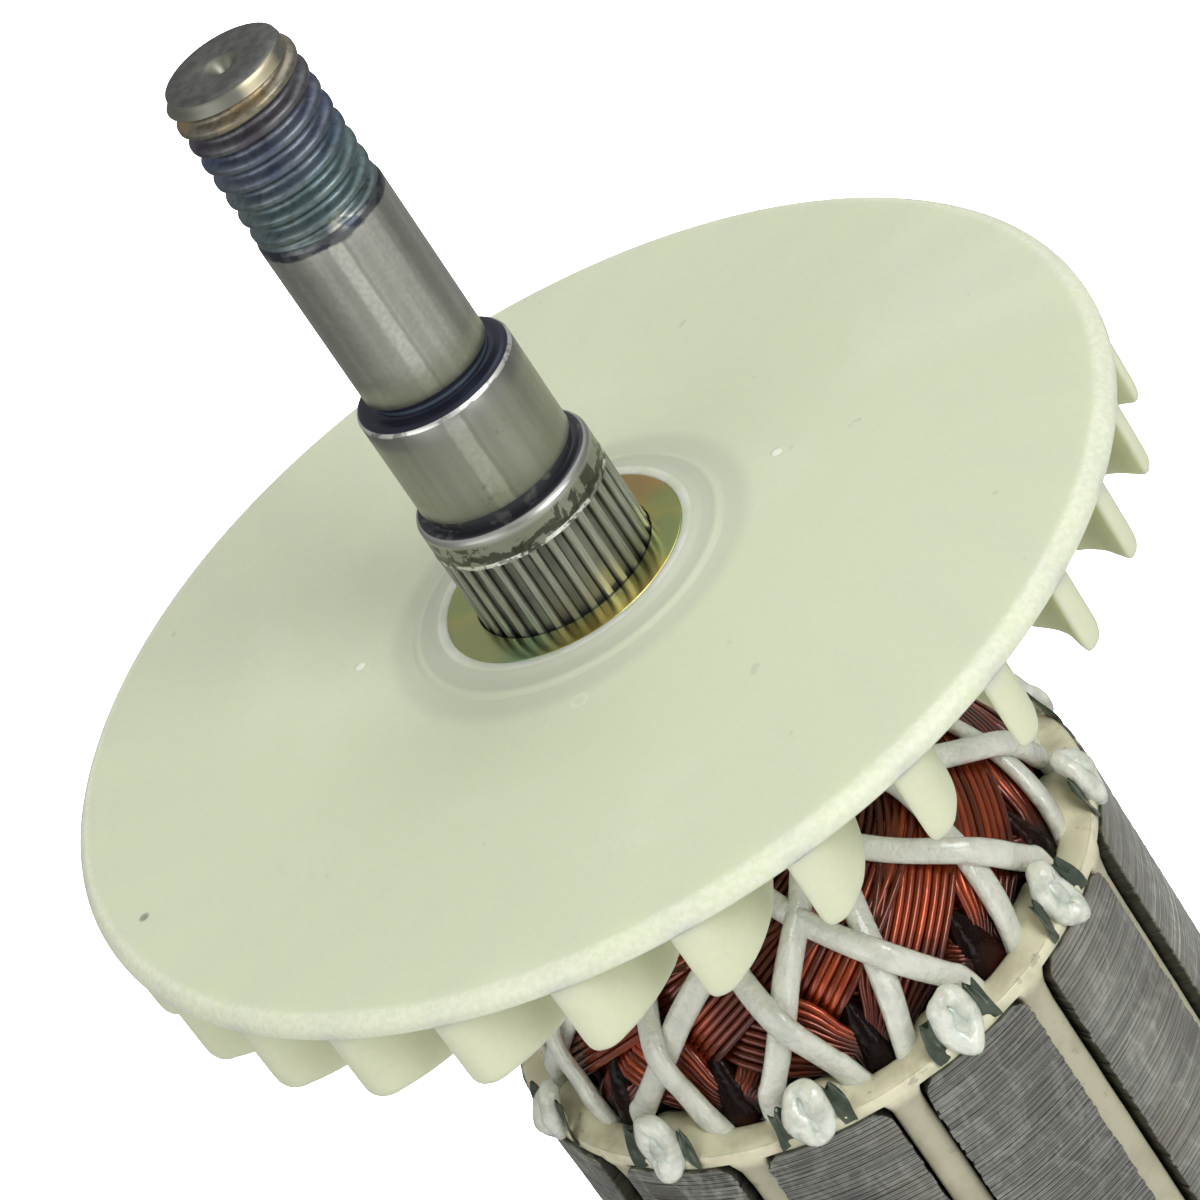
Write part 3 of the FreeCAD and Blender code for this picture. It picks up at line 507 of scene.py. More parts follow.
def shaft_paint(colours):
    """Ground steel: heat tints on the thread, scale in the reliefs, stains on the collar."""
    paint = Paint("Shaft_Steel")
    z, place, radius = paint.z, paint.place, paint.radius
    height = z + (place.noise(420.0, 3.0, 0.6) - 0.5) * 0.0011
    cloud = place.noise(150.0, 3.0)
    fine = place.noise(900.0)
    on_thread = z.over(24.3, 24.5)
    over_flutes = z.over(-9.75, -9.45)

    # thread: tints from the last turn to the first, its crests, its chamfer and the nose's face
    burr = paint.spot(1.2, -5.9, 24.4, 0.7, 0.9) * fine.step(0.42, 0.55)
    # the chamfer's lighter gold part round -62 degrees is straw tint and a painted highlight
    chamfer = paint.about(-62, 14, 14).blend((0.24, 0.24, 0.20), (0.60, 0.55, 0.38))
    speckle = place.noise(900.0, 4.0, 0.7).step(0.38, 0.62)
    thread = layers(
        colours.teal,
        (height.over(28.5, 32.0), colours.navy),
        (height.over(33.8, 35.2), colours.violet),
        (height.over(36.4, 37.3), colours.gold),
        (cloud.step(0.42, 0.62) * 0.55, (0.26, 0.28, 0.28)),
        (place.noise(1400.0).step(0.45, 0.7) * 0.4, (0.04, 0.045, 0.05)),
        (radius.over(5.35, 5.85) * 0.25, (0.17, 0.19, 0.19)),
        (burr, (0.55, 0.55, 0.50)),
        (z.over(38.3, 38.6), chamfer),
        (z.over(39.65, 39.74), speckle.blend((0.185, 0.19, 0.17), (0.13, 0.13, 0.12))))

    # seats: stains, grinding marks, a painted highlight streak along the shaft with a painted dark
    # reflection line beside it, painted shade just above the reliefs, painted glints on the seat's
    # top chamfer
    rust = paint.spot(-0.4, -7.4, -3.4, 1.2, 1.1) + paint.spot(2.6, -7.0, 1.6, 0.5, 0.5)
    grain = paint.unrolled(2.2, 9.0).noise(1.6, 2.0, 0.6)
    around = paint.turn + (place.noise(500.0, 3.0) - 0.5) * 0.05
    # painted highlight: a light streak along the shaft round -93 degrees
    painted_highlight_streak = around.band(math.radians(-98), math.radians(-88), math.radians(2.5))
    # painted reflection: a dark line at the streak's edge round -85 degrees
    painted_dark_reflection_line = around.band(math.radians(-86.5), math.radians(-84.5), math.radians(1.5))
    # painted shade: darker bands on the seats just above the two reliefs
    glow = paint.greater(z.between(6.7, 8.2, 3.0), z.between(-5.1, -4.2, 3.0) * 0.6)
    # painted highlight: near-white glints along the seat's top chamfer
    painted_glints = z.between(4.95, 5.25, 0.05) * place.noise(700.0, 3.0).step(0.40, 0.52)
    steel = layers(
        colours.steel,
        (place.noise(260.0, 4.0, 0.7) * 0.35, (0.40, 0.41, 0.37)),
        (rust * place.noise(1500.0, 3.0).step(0.50, 0.66) * 0.6, (0.14, 0.12, 0.09)),
        (grain.step(0.44, 0.58) * 0.3, (0.24, 0.24, 0.215)),
        ((1 - z.over(4.9, 5.2)) * 0.5, (0.20, 0.20, 0.18)),
        (painted_highlight_streak * 0.30, (0.80, 0.80, 0.74)),
        (painted_dark_reflection_line * 0.35, (0.20, 0.20, 0.18)),
        (place.noise(2200.0).step(0.35, 0.65) * 0.30, (0.30, 0.30, 0.275)),
        (glow * 0.42, (0.17, 0.16, 0.15)),
        (painted_glints * 0.8, (0.95, 0.95, 0.90)))

    # scale under the thread and in the two reliefs, with a painted highlight line in the upper one
    neck = layers((0.050, 0.058, 0.075),
                  (place.noise(600.0, 3.0).step(0.44, 0.62) * 0.6, (0.20, 0.21, 0.20)))
    flecked = layers((0.045, 0.048, 0.058), (fine.step(0.55, 0.7) * 0.7, (0.16, 0.16, 0.15)))
    upper = z.between(5.30, 6.72, 0.05)
    lower = z.between(-6.5, -5.08, 0.06)
    turned = layers(
        steel,
        (height.over(23.3, 23.6), neck),
        (on_thread, thread),
        (upper, colours.scale),
        (z.between(5.95, 6.15, 0.1), (0.10, 0.14, 0.18)),
        (lower, flecked))

    # collar: dark flakes, a torn line, a lighter upper band that is a painted highlight under the
    # chamfer, and burrs on the lower one
    torn = z + (place.noise(420.0, 3.0, 0.7) - 0.5) * 0.0030
    burrs = z.between(-9.55, -9.25, 0.1) * place.noise(900.0, 3.0).step(0.48, 0.56)
    collar = layers(
        (0.30, 0.30, 0.27),
        (place.noise(330.0, 4.0, 0.7, 1.5).step(0.49, 0.56) * 0.85, (0.055, 0.055, 0.045)),
        (torn.between(-8.95, -8.45, 0.2) * 0.85, (0.055, 0.055, 0.045)),
        (z.over(-7.4, -6.9), (0.42, 0.42, 0.39)),
        (burrs * 0.8, (0.90, 0.90, 0.86)))

    # flutes: cloudy grooves, with painted shade on the flanks beside the streaked lands
    streak = paint.unrolled(60.0, 120.0, radius).noise(3.0, 3.0)
    lands = layers((0.46, 0.46, 0.43), (streak.step(0.35, 0.7) * 0.6, (0.16, 0.16, 0.14)))
    flutes = layers(
        (0.27, 0.27, 0.245),
        (cloud.step(0.35, 0.65), (0.13, 0.13, 0.115)),
        (radius.between(8.06, 8.30, 0.05) * 0.7, (0.015, 0.015, 0.012)),
        (radius.over(8.12, 8.44), lands))

    tint = over_flutes.blend(flutes, z.over(-6.4, -6.3).blend(collar, turned))
    tint = z.over(-32.5, -31.5).blend((0.36, 0.36, 0.34), tint)
    dark = paint.greater(upper, lower)
    rough = (0.26 + place.noise(500.0, 3.0) * 0.16 + on_thread * 0.12 + dark * 0.05
             + (1 - over_flutes) * 0.14)
    ground = paint.unrolled(1.5, 9000.0).noise(1.0, 3.0, 0.8) * (1 - on_thread) * (1 - dark)
    pits = place.noise(2600.0) * (0.4 + on_thread)
    return paint.finish(ground * 0.5 + pits * 0.5, 0.00002, 0.45, Base_Color=tint,
                        Metallic=1.0 - dark * 0.35, Roughness=rough)


def zinc_paint(colours):
    """Zinc finish that runs from straw to green and rose round the axis."""
    paint = Paint("Zinc_Finish")
    place = paint.place
    tint = layers(
        colours.zinc,
        (place.noise(130.0).step(0.38, 0.60), colours.zinc_green),
        (paint.about(48, 18, 30) * 0.6, (0.62, 0.30, 0.12)),
        (paint.about(-150, 25, 30) * 0.5, (0.26, 0.46, 0.28)))
    return paint.finish(place.noise(1500.0), 0.00003, 0.3, Base_Color=tint, Metallic=1.0,
                        Roughness=0.16 + place.noise(800.0) * 0.12)


def nylon_paint(colours):
    """Nylon with a paler rim, soft depth and a few handling marks; painted light on the undersides
    and the bore's lip, painted shade on the boss's bevel, a painted shadow round the hub.
    """
    paint = Paint("Fan_Nylon")
    place, z, radius = paint.place, paint.z, paint.radius
    rim = radius.over(49.2, 49.9) * z.over(-22.2, -21.6)
    worn = place.noise(1900.0, 3.0).step(0.38, 0.60) * 0.5 + 0.35
    # painted light: the blades and the disc's underside lightened to a paler nylon
    under = 1 - z.over(-21.9, -21.5)
    # painted shade on the boss's sloping bevel
    lip = radius.between(12.7, 14.4, 0.3) * z.over(-19.0, -18.4)
    # painted highlight on the lip round the bore
    edge = radius.between(11.7, 12.4, 0.25) * place.noise(420.0).step(0.35, 0.6)
    # painted shadow on the disc round the hub's boss
    slope = radius.between(15.0, 16.6, 2.0) * z.over(-22.0, -19.5)
    ring_mark = (paint.spot(-4.2, -18.1, -18.5, 0.75, 0.15)
                 - paint.spot(-4.2, -18.1, -18.5, 0.5, 0.15))
    gates = paint.spot(-20.1, 6.2, -18.6, 0.35, 0.3) + paint.spot(20.9, -1.3, -18.6, 0.35, 0.3)
    tint = layers(
        colours.nylon,
        (place.noise(28.0).step(0.3, 0.7) * 0.25, (0.640, 0.700, 0.490)),
        (place.noise(38.0, 3.0, 0.6, 0.6).step(0.48, 0.70) * 0.35, (0.770, 0.805, 0.640)),
        (rim * worn, colours.edge),
        (under * 0.6, (0.76, 0.765, 0.555)),
        (lip * 0.55, (0.47, 0.49, 0.41)),
        (edge * 0.6, (0.84, 0.86, 0.74)),
        (slope * 0.45, (0.50, 0.53, 0.41)),
        (ring_mark * 0.35, (0.90, 0.92, 0.80)),
        (paint.spot(-46.3, -8.2, -19.5, 0.3, 0.35) * 0.8, (0.22, 0.22, 0.18)),
        (place.noise(380.0).step(0.74, 0.78) * 0.35, (0.42, 0.45, 0.33)),
        (gates * 0.8, (0.95, 0.97, 0.85)),
        (place.noise(1700.0).step(0.35, 0.65) * 0.10, (0.56, 0.60, 0.44)))
    bump = (place.noise(700.0, 3.0) * 0.25 + place.noise(60.0, 1.0) * 1.2 + gates * 3.0
            + rim * place.noise(2600.0) * 0.5)
    return paint.finish(bump, 0.00005, 0.8, Base_Color=tint, Roughness=0.42,
                        Subsurface_Weight=0.55, Subsurface_Radius=(1.0, 1.0, 0.6),
                        Subsurface_Scale=0.0035, IOR=1.5, Specular_IOR_Level=0.45)


def sheet_paint(colours):
    """Edges of stacked sheets, ground round: fine lines, streaks and dark gaps, with painted shade
    on one side, painted light on another and brown patches of painted reflection.
    """
    paint = Paint("Laminations")
    place, radius = paint.place, paint.radius
    lines = paint.unrolled(3.0, 5200.0).noise(1.0, 3.0, 0.7)
    smear = paint.unrolled(9.0, 160.0, 1.0).noise(2.2, 3.0, 0.6, 0.8)
    layer = paint.z * (1 / (SHEET * MM))
    spread = layer.node("ShaderNodeTexWhiteNoise", {"noise_dimensions": "1D"},
                        {1: paint.start.math("FLOOR", layer)})
    ground = layers(
        colours.sheet,
        (lines.step(0.34, 0.64), (0.15, 0.15, 0.14)),
        (smear.step(0.46, 0.66) * 0.5, (0.88, 0.87, 0.80)),
        # painted shade on the side towards -84 degrees
        (paint.about(-84, 24, 16) * 0.55, (0.13, 0.13, 0.125)),
        # painted light on the side towards -20 degrees
        (paint.about(-20, 26, 14) * 0.30, (0.95, 0.94, 0.86)),
        # brown patches, a painted reflection
        (place.noise(90.0).step(0.50, 0.68) * 0.35, (0.30, 0.25, 0.19)))
    tint = layers(
        (0.080, 0.077, 0.062),
        (radius.over(28.9, 29.6), radius.over(29.62, 29.93).blend((0.095, 0.095, 0.085), ground)),
        (spread * 0.35, (0.17, 0.17, 0.165)))
    return paint.finish(lines * 0.6 + smear * 0.4, 0.00006, 0.6, Base_Color=tint, Metallic=0.95,
                        Roughness=0.30 + smear * 0.22)


def cream_paint(colours):
    """Moulded insulation, a little dirty and with soft ripples; the strips darker below the core's
    face, with painted shade on their sides.
    """
    paint = Paint("Cream_Insulation")
    place = paint.place
    stain = place.noise(240.0, 4.0, 0.65)
    edge = 1 - paint.radius.over(28.15, 28.62)
    strip = 1 - paint.z.over(-64.6, -63.0)
    tint = layers(
        colours.cream,
        (stain.step(0.42, 0.70) * 0.55, (0.46, 0.42, 0.28)),
        (place.noise(520.0, 3.0, 0.6).step(0.62, 0.72) * 0.5, (0.22, 0.21, 0.16)),
        # painted shade on the strips' sides, down in the slot mouths
        (strip * edge * 0.6, (0.20, 0.20, 0.14)),
        # the strips darker below the core's face
        (strip * 0.5, (0.33, 0.31, 0.22)))
    return paint.finish(stain + place.noise(900.0) * 0.4, 0.0001, 0.5, Base_Color=tint,
                        Roughness=0.38 + stain * 0.2, Coat_Weight=0.15, Coat_Roughness=0.2,
                        Subsurface_Weight=0.15, Subsurface_Scale=0.001)


def film_paint(colours):
    """Green liner film with a wet shine."""
    paint = Paint("Liner_Film")
    cloud = paint.place.noise(500.0, 3.0)
    tint = cloud.step(0.35, 0.65).blend(colours.film, (0.055, 0.072, 0.043))
    return paint.finish(cloud, 0.0003, 0.6, Base_Color=tint, Roughness=0.25, Coat_Weight=0.5,
                        Coat_Roughness=0.06)


def wire_paint(colours):
    """Enamelled wire under varnish, in painted light and shade: near-black towards the slots from
    varnish and painted shade, darker at the heads' tops and inner legs from painted shade.
    """
    paint = Paint("Enamelled_Wire")
    place, z = paint.place, paint.z
    patch = place.noise(110.0)
    wet = place.noise(320.0, 3.0)
    # painted light and shade: each wire and patch mixed between the lit and shaded enamel
    lit = (0.08 + paint.tone() * 0.92) * (0.28 + patch.step(0.36, 0.62) * 0.72)
    # near-black feet by the core's face: varnish pooled there and painted shade
    foot = 1 - z.over(-61.0, -55.0)
    # painted shade on the inner legs, under the outer wires
    painted_shade_inside = (1 - paint.radius.over(21.8, 23.6)) * (1 - z.over(-58.5, -56.0))
    tint = layers(
        colours.enamel_shaded,
        (lit, colours.enamel),
        # painted shade on the heads' tops, under the fan
        (z.over(-55.0, -47.0) * 0.5, colours.enamel_shaded),
        (foot * (0.85 + patch.step(0.4, 0.6) * 0.15), colours.varnish),
        (painted_shade_inside * 0.8, colours.varnish))
    return paint.finish(wet + place.noise(1300.0) * 0.12, 0.0004, 0.55, Base_Color=tint,
                        Metallic=0.62, Roughness=0.19 + wet * 0.12, Specular_IOR_Level=0.3,
                        Coat_Weight=1.0 - foot * 0.55, Coat_Roughness=0.03, Coat_IOR=1.42)


def varnish_paint(colours):
    """Dark varnish that fills the room between the wires."""
    paint = Paint("Varnish")
    place = paint.place
    wet = place.noise(260.0) + place.noise(800.0) * 0.2
    tint = place.noise(160.0).step(0.45, 0.7).blend(colours.varnish, (0.022, 0.005, 0.003))
    return paint.finish(wet, 0.0009, 0.9, Base_Color=tint, Roughness=0.06 + wet * 0.06,
                        Specular_IOR_Level=0.12)


def cord_paint(colours):
    """Lacing cord soaked in varnish: faint weave and wet spots."""
    paint = Paint("Lacing_Cord")
    weave = paint.place.noise(2400.0)
    cloud = paint.place.noise(330.0, 3.0, 0.6)
    tint = (cloud.step(0.35, 0.7) * 0.55).blend(colours.cord, (0.52, 0.53, 0.46))
    return paint.finish(cloud * 2.4 + weave * 0.5, 0.00030, 0.9, Base_Color=tint,
                        Roughness=0.26, Coat_Weight=1.0, Coat_Roughness=0.04,
                        Subsurface_Weight=0.2, Subsurface_Scale=0.0012)


def loop_paint(colours):
    """Knotted loops of the cord under a thick drop of varnish."""
    paint = Paint("Cord_Loop")
    cloud = paint.place.noise(420.0, 3.0, 0.6)
    tint = layers(
        colours.loop,
        (cloud.step(0.42, 0.68) * 0.6, (0.36, 0.40, 0.32)),
        ((1 - paint.tone()) * 0.75, (0.12, 0.17, 0.11)))
    return paint.finish(cloud, 0.0008, 0.8, Base_Color=tint, Roughness=0.22, Coat_Weight=0.9,
                        Coat_Roughness=0.05, Subsurface_Weight=0.2, Subsurface_Scale=0.0012)


def tube_paint(colours):
    """Laminated tube with wound layers."""
    paint = Paint("Insulating_Tube")
    wound = paint.unrolled(4.0, 900.0).noise(1.0)
    tint = wound.step(0.4, 0.65).blend(colours.tube, (0.10, 0.12, 0.07))
    return paint.finish(wound, 0.0001, 0.4, Base_Color=tint, Roughness=0.42)


def moulding_paint(colours):
    """Brown moulding with a fine grain."""
    paint = Paint("Brown_Moulding")
    grain = paint.place.noise(900.0, 3.0)
    tint = grain.step(0.4, 0.7).blend(colours.moulding, (0.10, 0.05, 0.03))
    return paint.finish(grain, 0.0001, 0.4, Base_Color=tint, Roughness=0.45)


def copper_paint(colours):
    """Turned copper, a little brown, with fine lines round the track."""
    paint = Paint("Bar_Copper")
    lines = paint.unrolled(1.0, 8000.0).noise(1.0)
    stain = paint.place.noise(200.0, 3.0)
    tint = (stain.step(0.4, 0.7) * 0.5).blend(colours.copper, (0.36, 0.17, 0.09))
    return paint.finish(lines, 0.00003, 0.5, Base_Color=tint, Metallic=1.0,
                        Roughness=0.24 + stain * 0.2)


def floor_paint():
    """Pale floor: white to the camera but for the shadow; to reflections it glows in soft bands
    round the axis, a painted reflection.
    """
    paint = Paint("Floor")
    start = paint.start
    camera = start.node("ShaderNodeLightPath", output=0)
    glossy = start.node("ShaderNodeLightPath", output=3)
    pale = camera.blend((0.72, 0.72, 0.71), (3.6, 3.6, 3.6))
    matt = start.node("ShaderNodeBsdfDiffuse", None, {"Color": pale})
    light = 0.26
    for degrees, wide, soft, power in ((-120, 8, 46, 0.28), (-98, 7, 9, 0.46),
                                       (-48, 26, 18, 0.48), (50, 20, 30, 0.15)):
        light = light + paint.about(degrees, wide, soft) * power
    glow = start.node("ShaderNodeEmission", None,
                      {"Color": light.blend((0.0, 0.0, 0.0), (1.0, 1.0, 0.97))})
    shader = start.node("ShaderNodeMixShader", None, {0: glossy, 1: matt, 2: glow})
    start.node("ShaderNodeOutputMaterial", None, {0: shader})
    return paint.material


# ---------------------------------------------------------------- pieces


def core_heights():
    """Height of the core's two faces, from the frame."""
    low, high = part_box("core_stack")
    return low.z, high.z


def numbered(name, number):
    """Name of the piece or node of a slot, counted from 1."""
    return "%s_%02d" % (name, number + 1)


def at_slot(points, number):
    """Points turned from the first slot to another; a half lies on the tooth after it."""
    return turned_copies(points, [PITCH * number])


def plain_ring(box, inner, edge, columns):
    """Closed rectangle with soft corners, from inner to a node's box, turned about the axis."""
    low, high = box
    profile = [(inner, low.z), (high.x, low.z), (high.x, high.z), (inner, high.z)]
    return lathe(rounded(profile, edge), columns)


class ARMATURE_OT_shaft(Operator):
    """Build the shaft with its thread, seats, flutes and lathe centre"""

    bl_idname = "armature.shaft"
    bl_label = "Shaft"

    def execute(self, context):
        """Turned surface whose radius is a profile of the height, cut by the thread and flutes.

        Thread: a crest where (height - phase)/pitch - angle/turn is whole, falling on both sides
        to the root. Flutes: a land round each multiple of the step, a flat groove between.
        """
        sizes = context.scene.armature_shaft
        low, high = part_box("shaft")
        top, foot = high.z / MM, low.z / MM
        thread, pinion, seat = sizes.thread_r / MM, sizes.pinion_r / MM, sizes.seat_r / MM
        collar, core, rear = sizes.collar_r / MM, sizes.core_r / MM, sizes.rear_r / MM
        # height, radius and rows to the next station, from the nose's hole to the rear one, in mm
        stations = np.array([
            (top - 2.6, 0.1, 1), (top - 2.5, 0.5, 1), (top - 1.3, 0.62, 2), (top - 0.05, 1.54, 1),
            (top, 1.64, 2), (top, 5.15, 1), (top - 0.1, 5.3, 2), (top - 1.0, 5.6, 2),
            (top - 1.3, thread, 112), (24.75, thread, 5), (24.35, 5.78, 2), (24.1, 5.96, 2),
            (23.9, pinion, 6), (6.8, pinion, 1), (6.75, 5.97, 1), (6.65, 5.72, 1), (6.4, 5.66, 2),
            (5.7, 5.66, 2), (5.55, 5.85, 3), (5.55, 6.95, 2), (5.45, 7.1, 2), (5.1, 7.45, 2),
            (5.0, seat, 5), (-5.0, seat, 1), (-5.06, 7.46, 1), (-5.16, 7.16, 1), (-6.15, 7.15, 1),
            (-6.25, 7.3, 2), (-6.25, 7.95, 1), (-6.32, 8.1, 2), (-6.7, 8.45, 1),
            (-6.82, collar, 4), (-9.4, collar, 1), (-9.56, collar + 0.06, 2),
            (-9.9, collar + 0.02, 6), (-31.3, collar, 1), (-31.5, 8.3, 1), (-31.55, core, 4),
            (foot + 14.6, core, 1),
            (foot + 14.5, 7.9, 2), (foot + 14.5, rear, 3), (foot + 0.5, rear, 2),
            (foot + 0.05, rear - 0.45, 1), (foot, rear - 0.6, 2), (foot, 1.36, 1),
            (foot + 0.05, 1.26, 2), (foot + 1.3, 0.55, 1), (foot + 2.5, 0.5, 1),
            (foot + 2.6, 0.1, 1)])
        chamfer_from, thread_from, thread_to = 5, 8, 9.6
        rows = stations[:, 2].astype(int)
        place = np.concatenate([index + np.arange(n) / n for index, n in enumerate(rows)])[:, None]
        height = np.interp(place, np.arange(len(rows)), stations[:, 0]) * MM
        radius = np.interp(place, np.arange(len(rows)), stations[:, 1]) * MM
        columns = sizes.flute_count * 10
        turn = TURN * np.arange(columns)[None, :] / columns
        phase = (height - sizes.thread_phase) / sizes.thread_pitch - turn / TURN
        ridge = np.clip((0.43 - np.abs(phase - np.round(phase))) / 0.33, 0, 1)
        root = sizes.thread_deep * (1 - 0.45 * ridge - 0.55 * ridge * ridge * (3 - 2 * ridge))
        in_thread = (place >= thread_from) * (place <= thread_to)
        radius = radius - root * in_thread * smooth(height, 24.45 * MM, 25.3 * MM)
        in_chamfer = (place > chamfer_from) * (place < thread_from)
        radius = radius - 0.35 * root * in_chamfer * smooth(
            height, high.z - 0.2 * MM, high.z - 1.2 * MM)
        share = (turn - sizes.flute_start) * sizes.flute_count / TURN
        groove = smooth(np.abs(share - np.round(share)), 0.185, 0.25)
        in_flutes = smooth(height, -9.6 * MM, -9.85 * MM) * (height > -31.4 * MM)
        radius = radius - sizes.flute_deep * groove * in_flutes
        blank = Blank()
        blank.add(polar(radius, turn, height)[None])
        blank.piece("Shaft", [shaft_paint(context.scene.armature_colours)], "hardened_steel",
                    ["shaft"], 50.0)
        return {"FINISHED"}


class ARMATURE_OT_fan(Operator):
    """Build the fan with its blades, and the steel sleeve in it"""

    bl_idname = "armature.fan"
    bl_label = "Fan"

    def execute(self, context):
        """Disc and sleeve: closed profiles turned about the axis."""
        sizes = context.scene.armature_fan
        colours = context.scene.armature_colours
        low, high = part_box("fan")
        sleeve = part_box("fan_sleeve")
        rim = high.x / MM
        face = -19.65  # the disc's upper side at its rim
        foot, hub = face - 2.1, face - 11.0
        bore = sleeve[1].x / MM + 0.02
        # radius and height in mm: under the hub and the disc, round the rim, over the boss
        profile = [(bore, hub), (14.2, hub), (14.5, foot - 0.6), (15.1, foot), (rim - 0.35, foot),
                   (rim, foot + 0.35), (rim, face - 0.85), (rim - 0.85, face)]
        profile += [(r, face + 1.12 * (rim - r) / (rim - 18.0))
                    for r in np.linspace(rim - 2.2, 18.0, 8)]
        profile += [(16.6, face + 1.2), (15.4, face + 1.32), (14.9, face + 1.62),
                    (14.4, face + 1.62), (13.4, face + 1.78), (12.7, face + 2.05),
                    (12.2, face + 2.1), (bore, face + 2.08)]
        edges = np.full(len(profile), 0.12)
        edges[6:8] = 0.4
        blank = Blank()
        blank.add(lathe(rounded(profile, edges) * MM, 288), loop=True)
        self.blades(blank, sizes, foot * MM, low.z)
        blank.piece("Fan", [nylon_paint(colours)], "fan_nylon", ["fan"], 35.0)

        blank = Blank()
        blank.add(plain_ring(sleeve, 8.62 * MM, 0.12 * MM, 192), loop=True)
        blank.piece("Fan_Sleeve", [zinc_paint(colours)], "zinc_steel", ["fan_sleeve"])
        return {"FINISHED"}

    def blades(self, blank, sizes, foot, low):
        """Blades: one outline lofted down in rings, turned about the axis.

        A ring is the outline drawn in towards the middle line by a share that grows to the
        bottom; the bottom falls by the slope times the distance from the rim.
        """
        outline = spline(np.array(BLADE) * MM, 61)[:-1]
        middle = np.array(BLADE_MIDDLE) * MM
        core_x = np.clip(outline[:, 0], middle[0, 0], middle[-1, 0])
        core = np.stack([core_x, np.interp(core_x, middle[:, 0], middle[:, 1])], axis=-1)
        fall = sizes.blade_slope * (outline[:, 0].max() - core_x)
        bottom = np.maximum(foot - sizes.blade_end - fall, low + 0.03 * MM)
        rows = [np.column_stack([outline, np.full(len(outline), foot + up * MM)])
                for up in (0.3, -0.5)]
        for up, draw in ((3.4, 0.0), (1.7, 0.0), (1.0, 0.03), (0.62, 0.10), (0.33, 0.22),
                         (0.14, 0.38), (0.03, 0.56), (0.0, 0.75)):
            ring = outline + (core - outline) * draw
            rows.append(np.column_stack([ring, bottom + up * sizes.blade_round]))
        angles = sizes.blade_start + TURN / sizes.blade_count * np.arange(sizes.blade_count)
        blank.add(turned_copies(np.stack(rows), angles), tone=0.8)


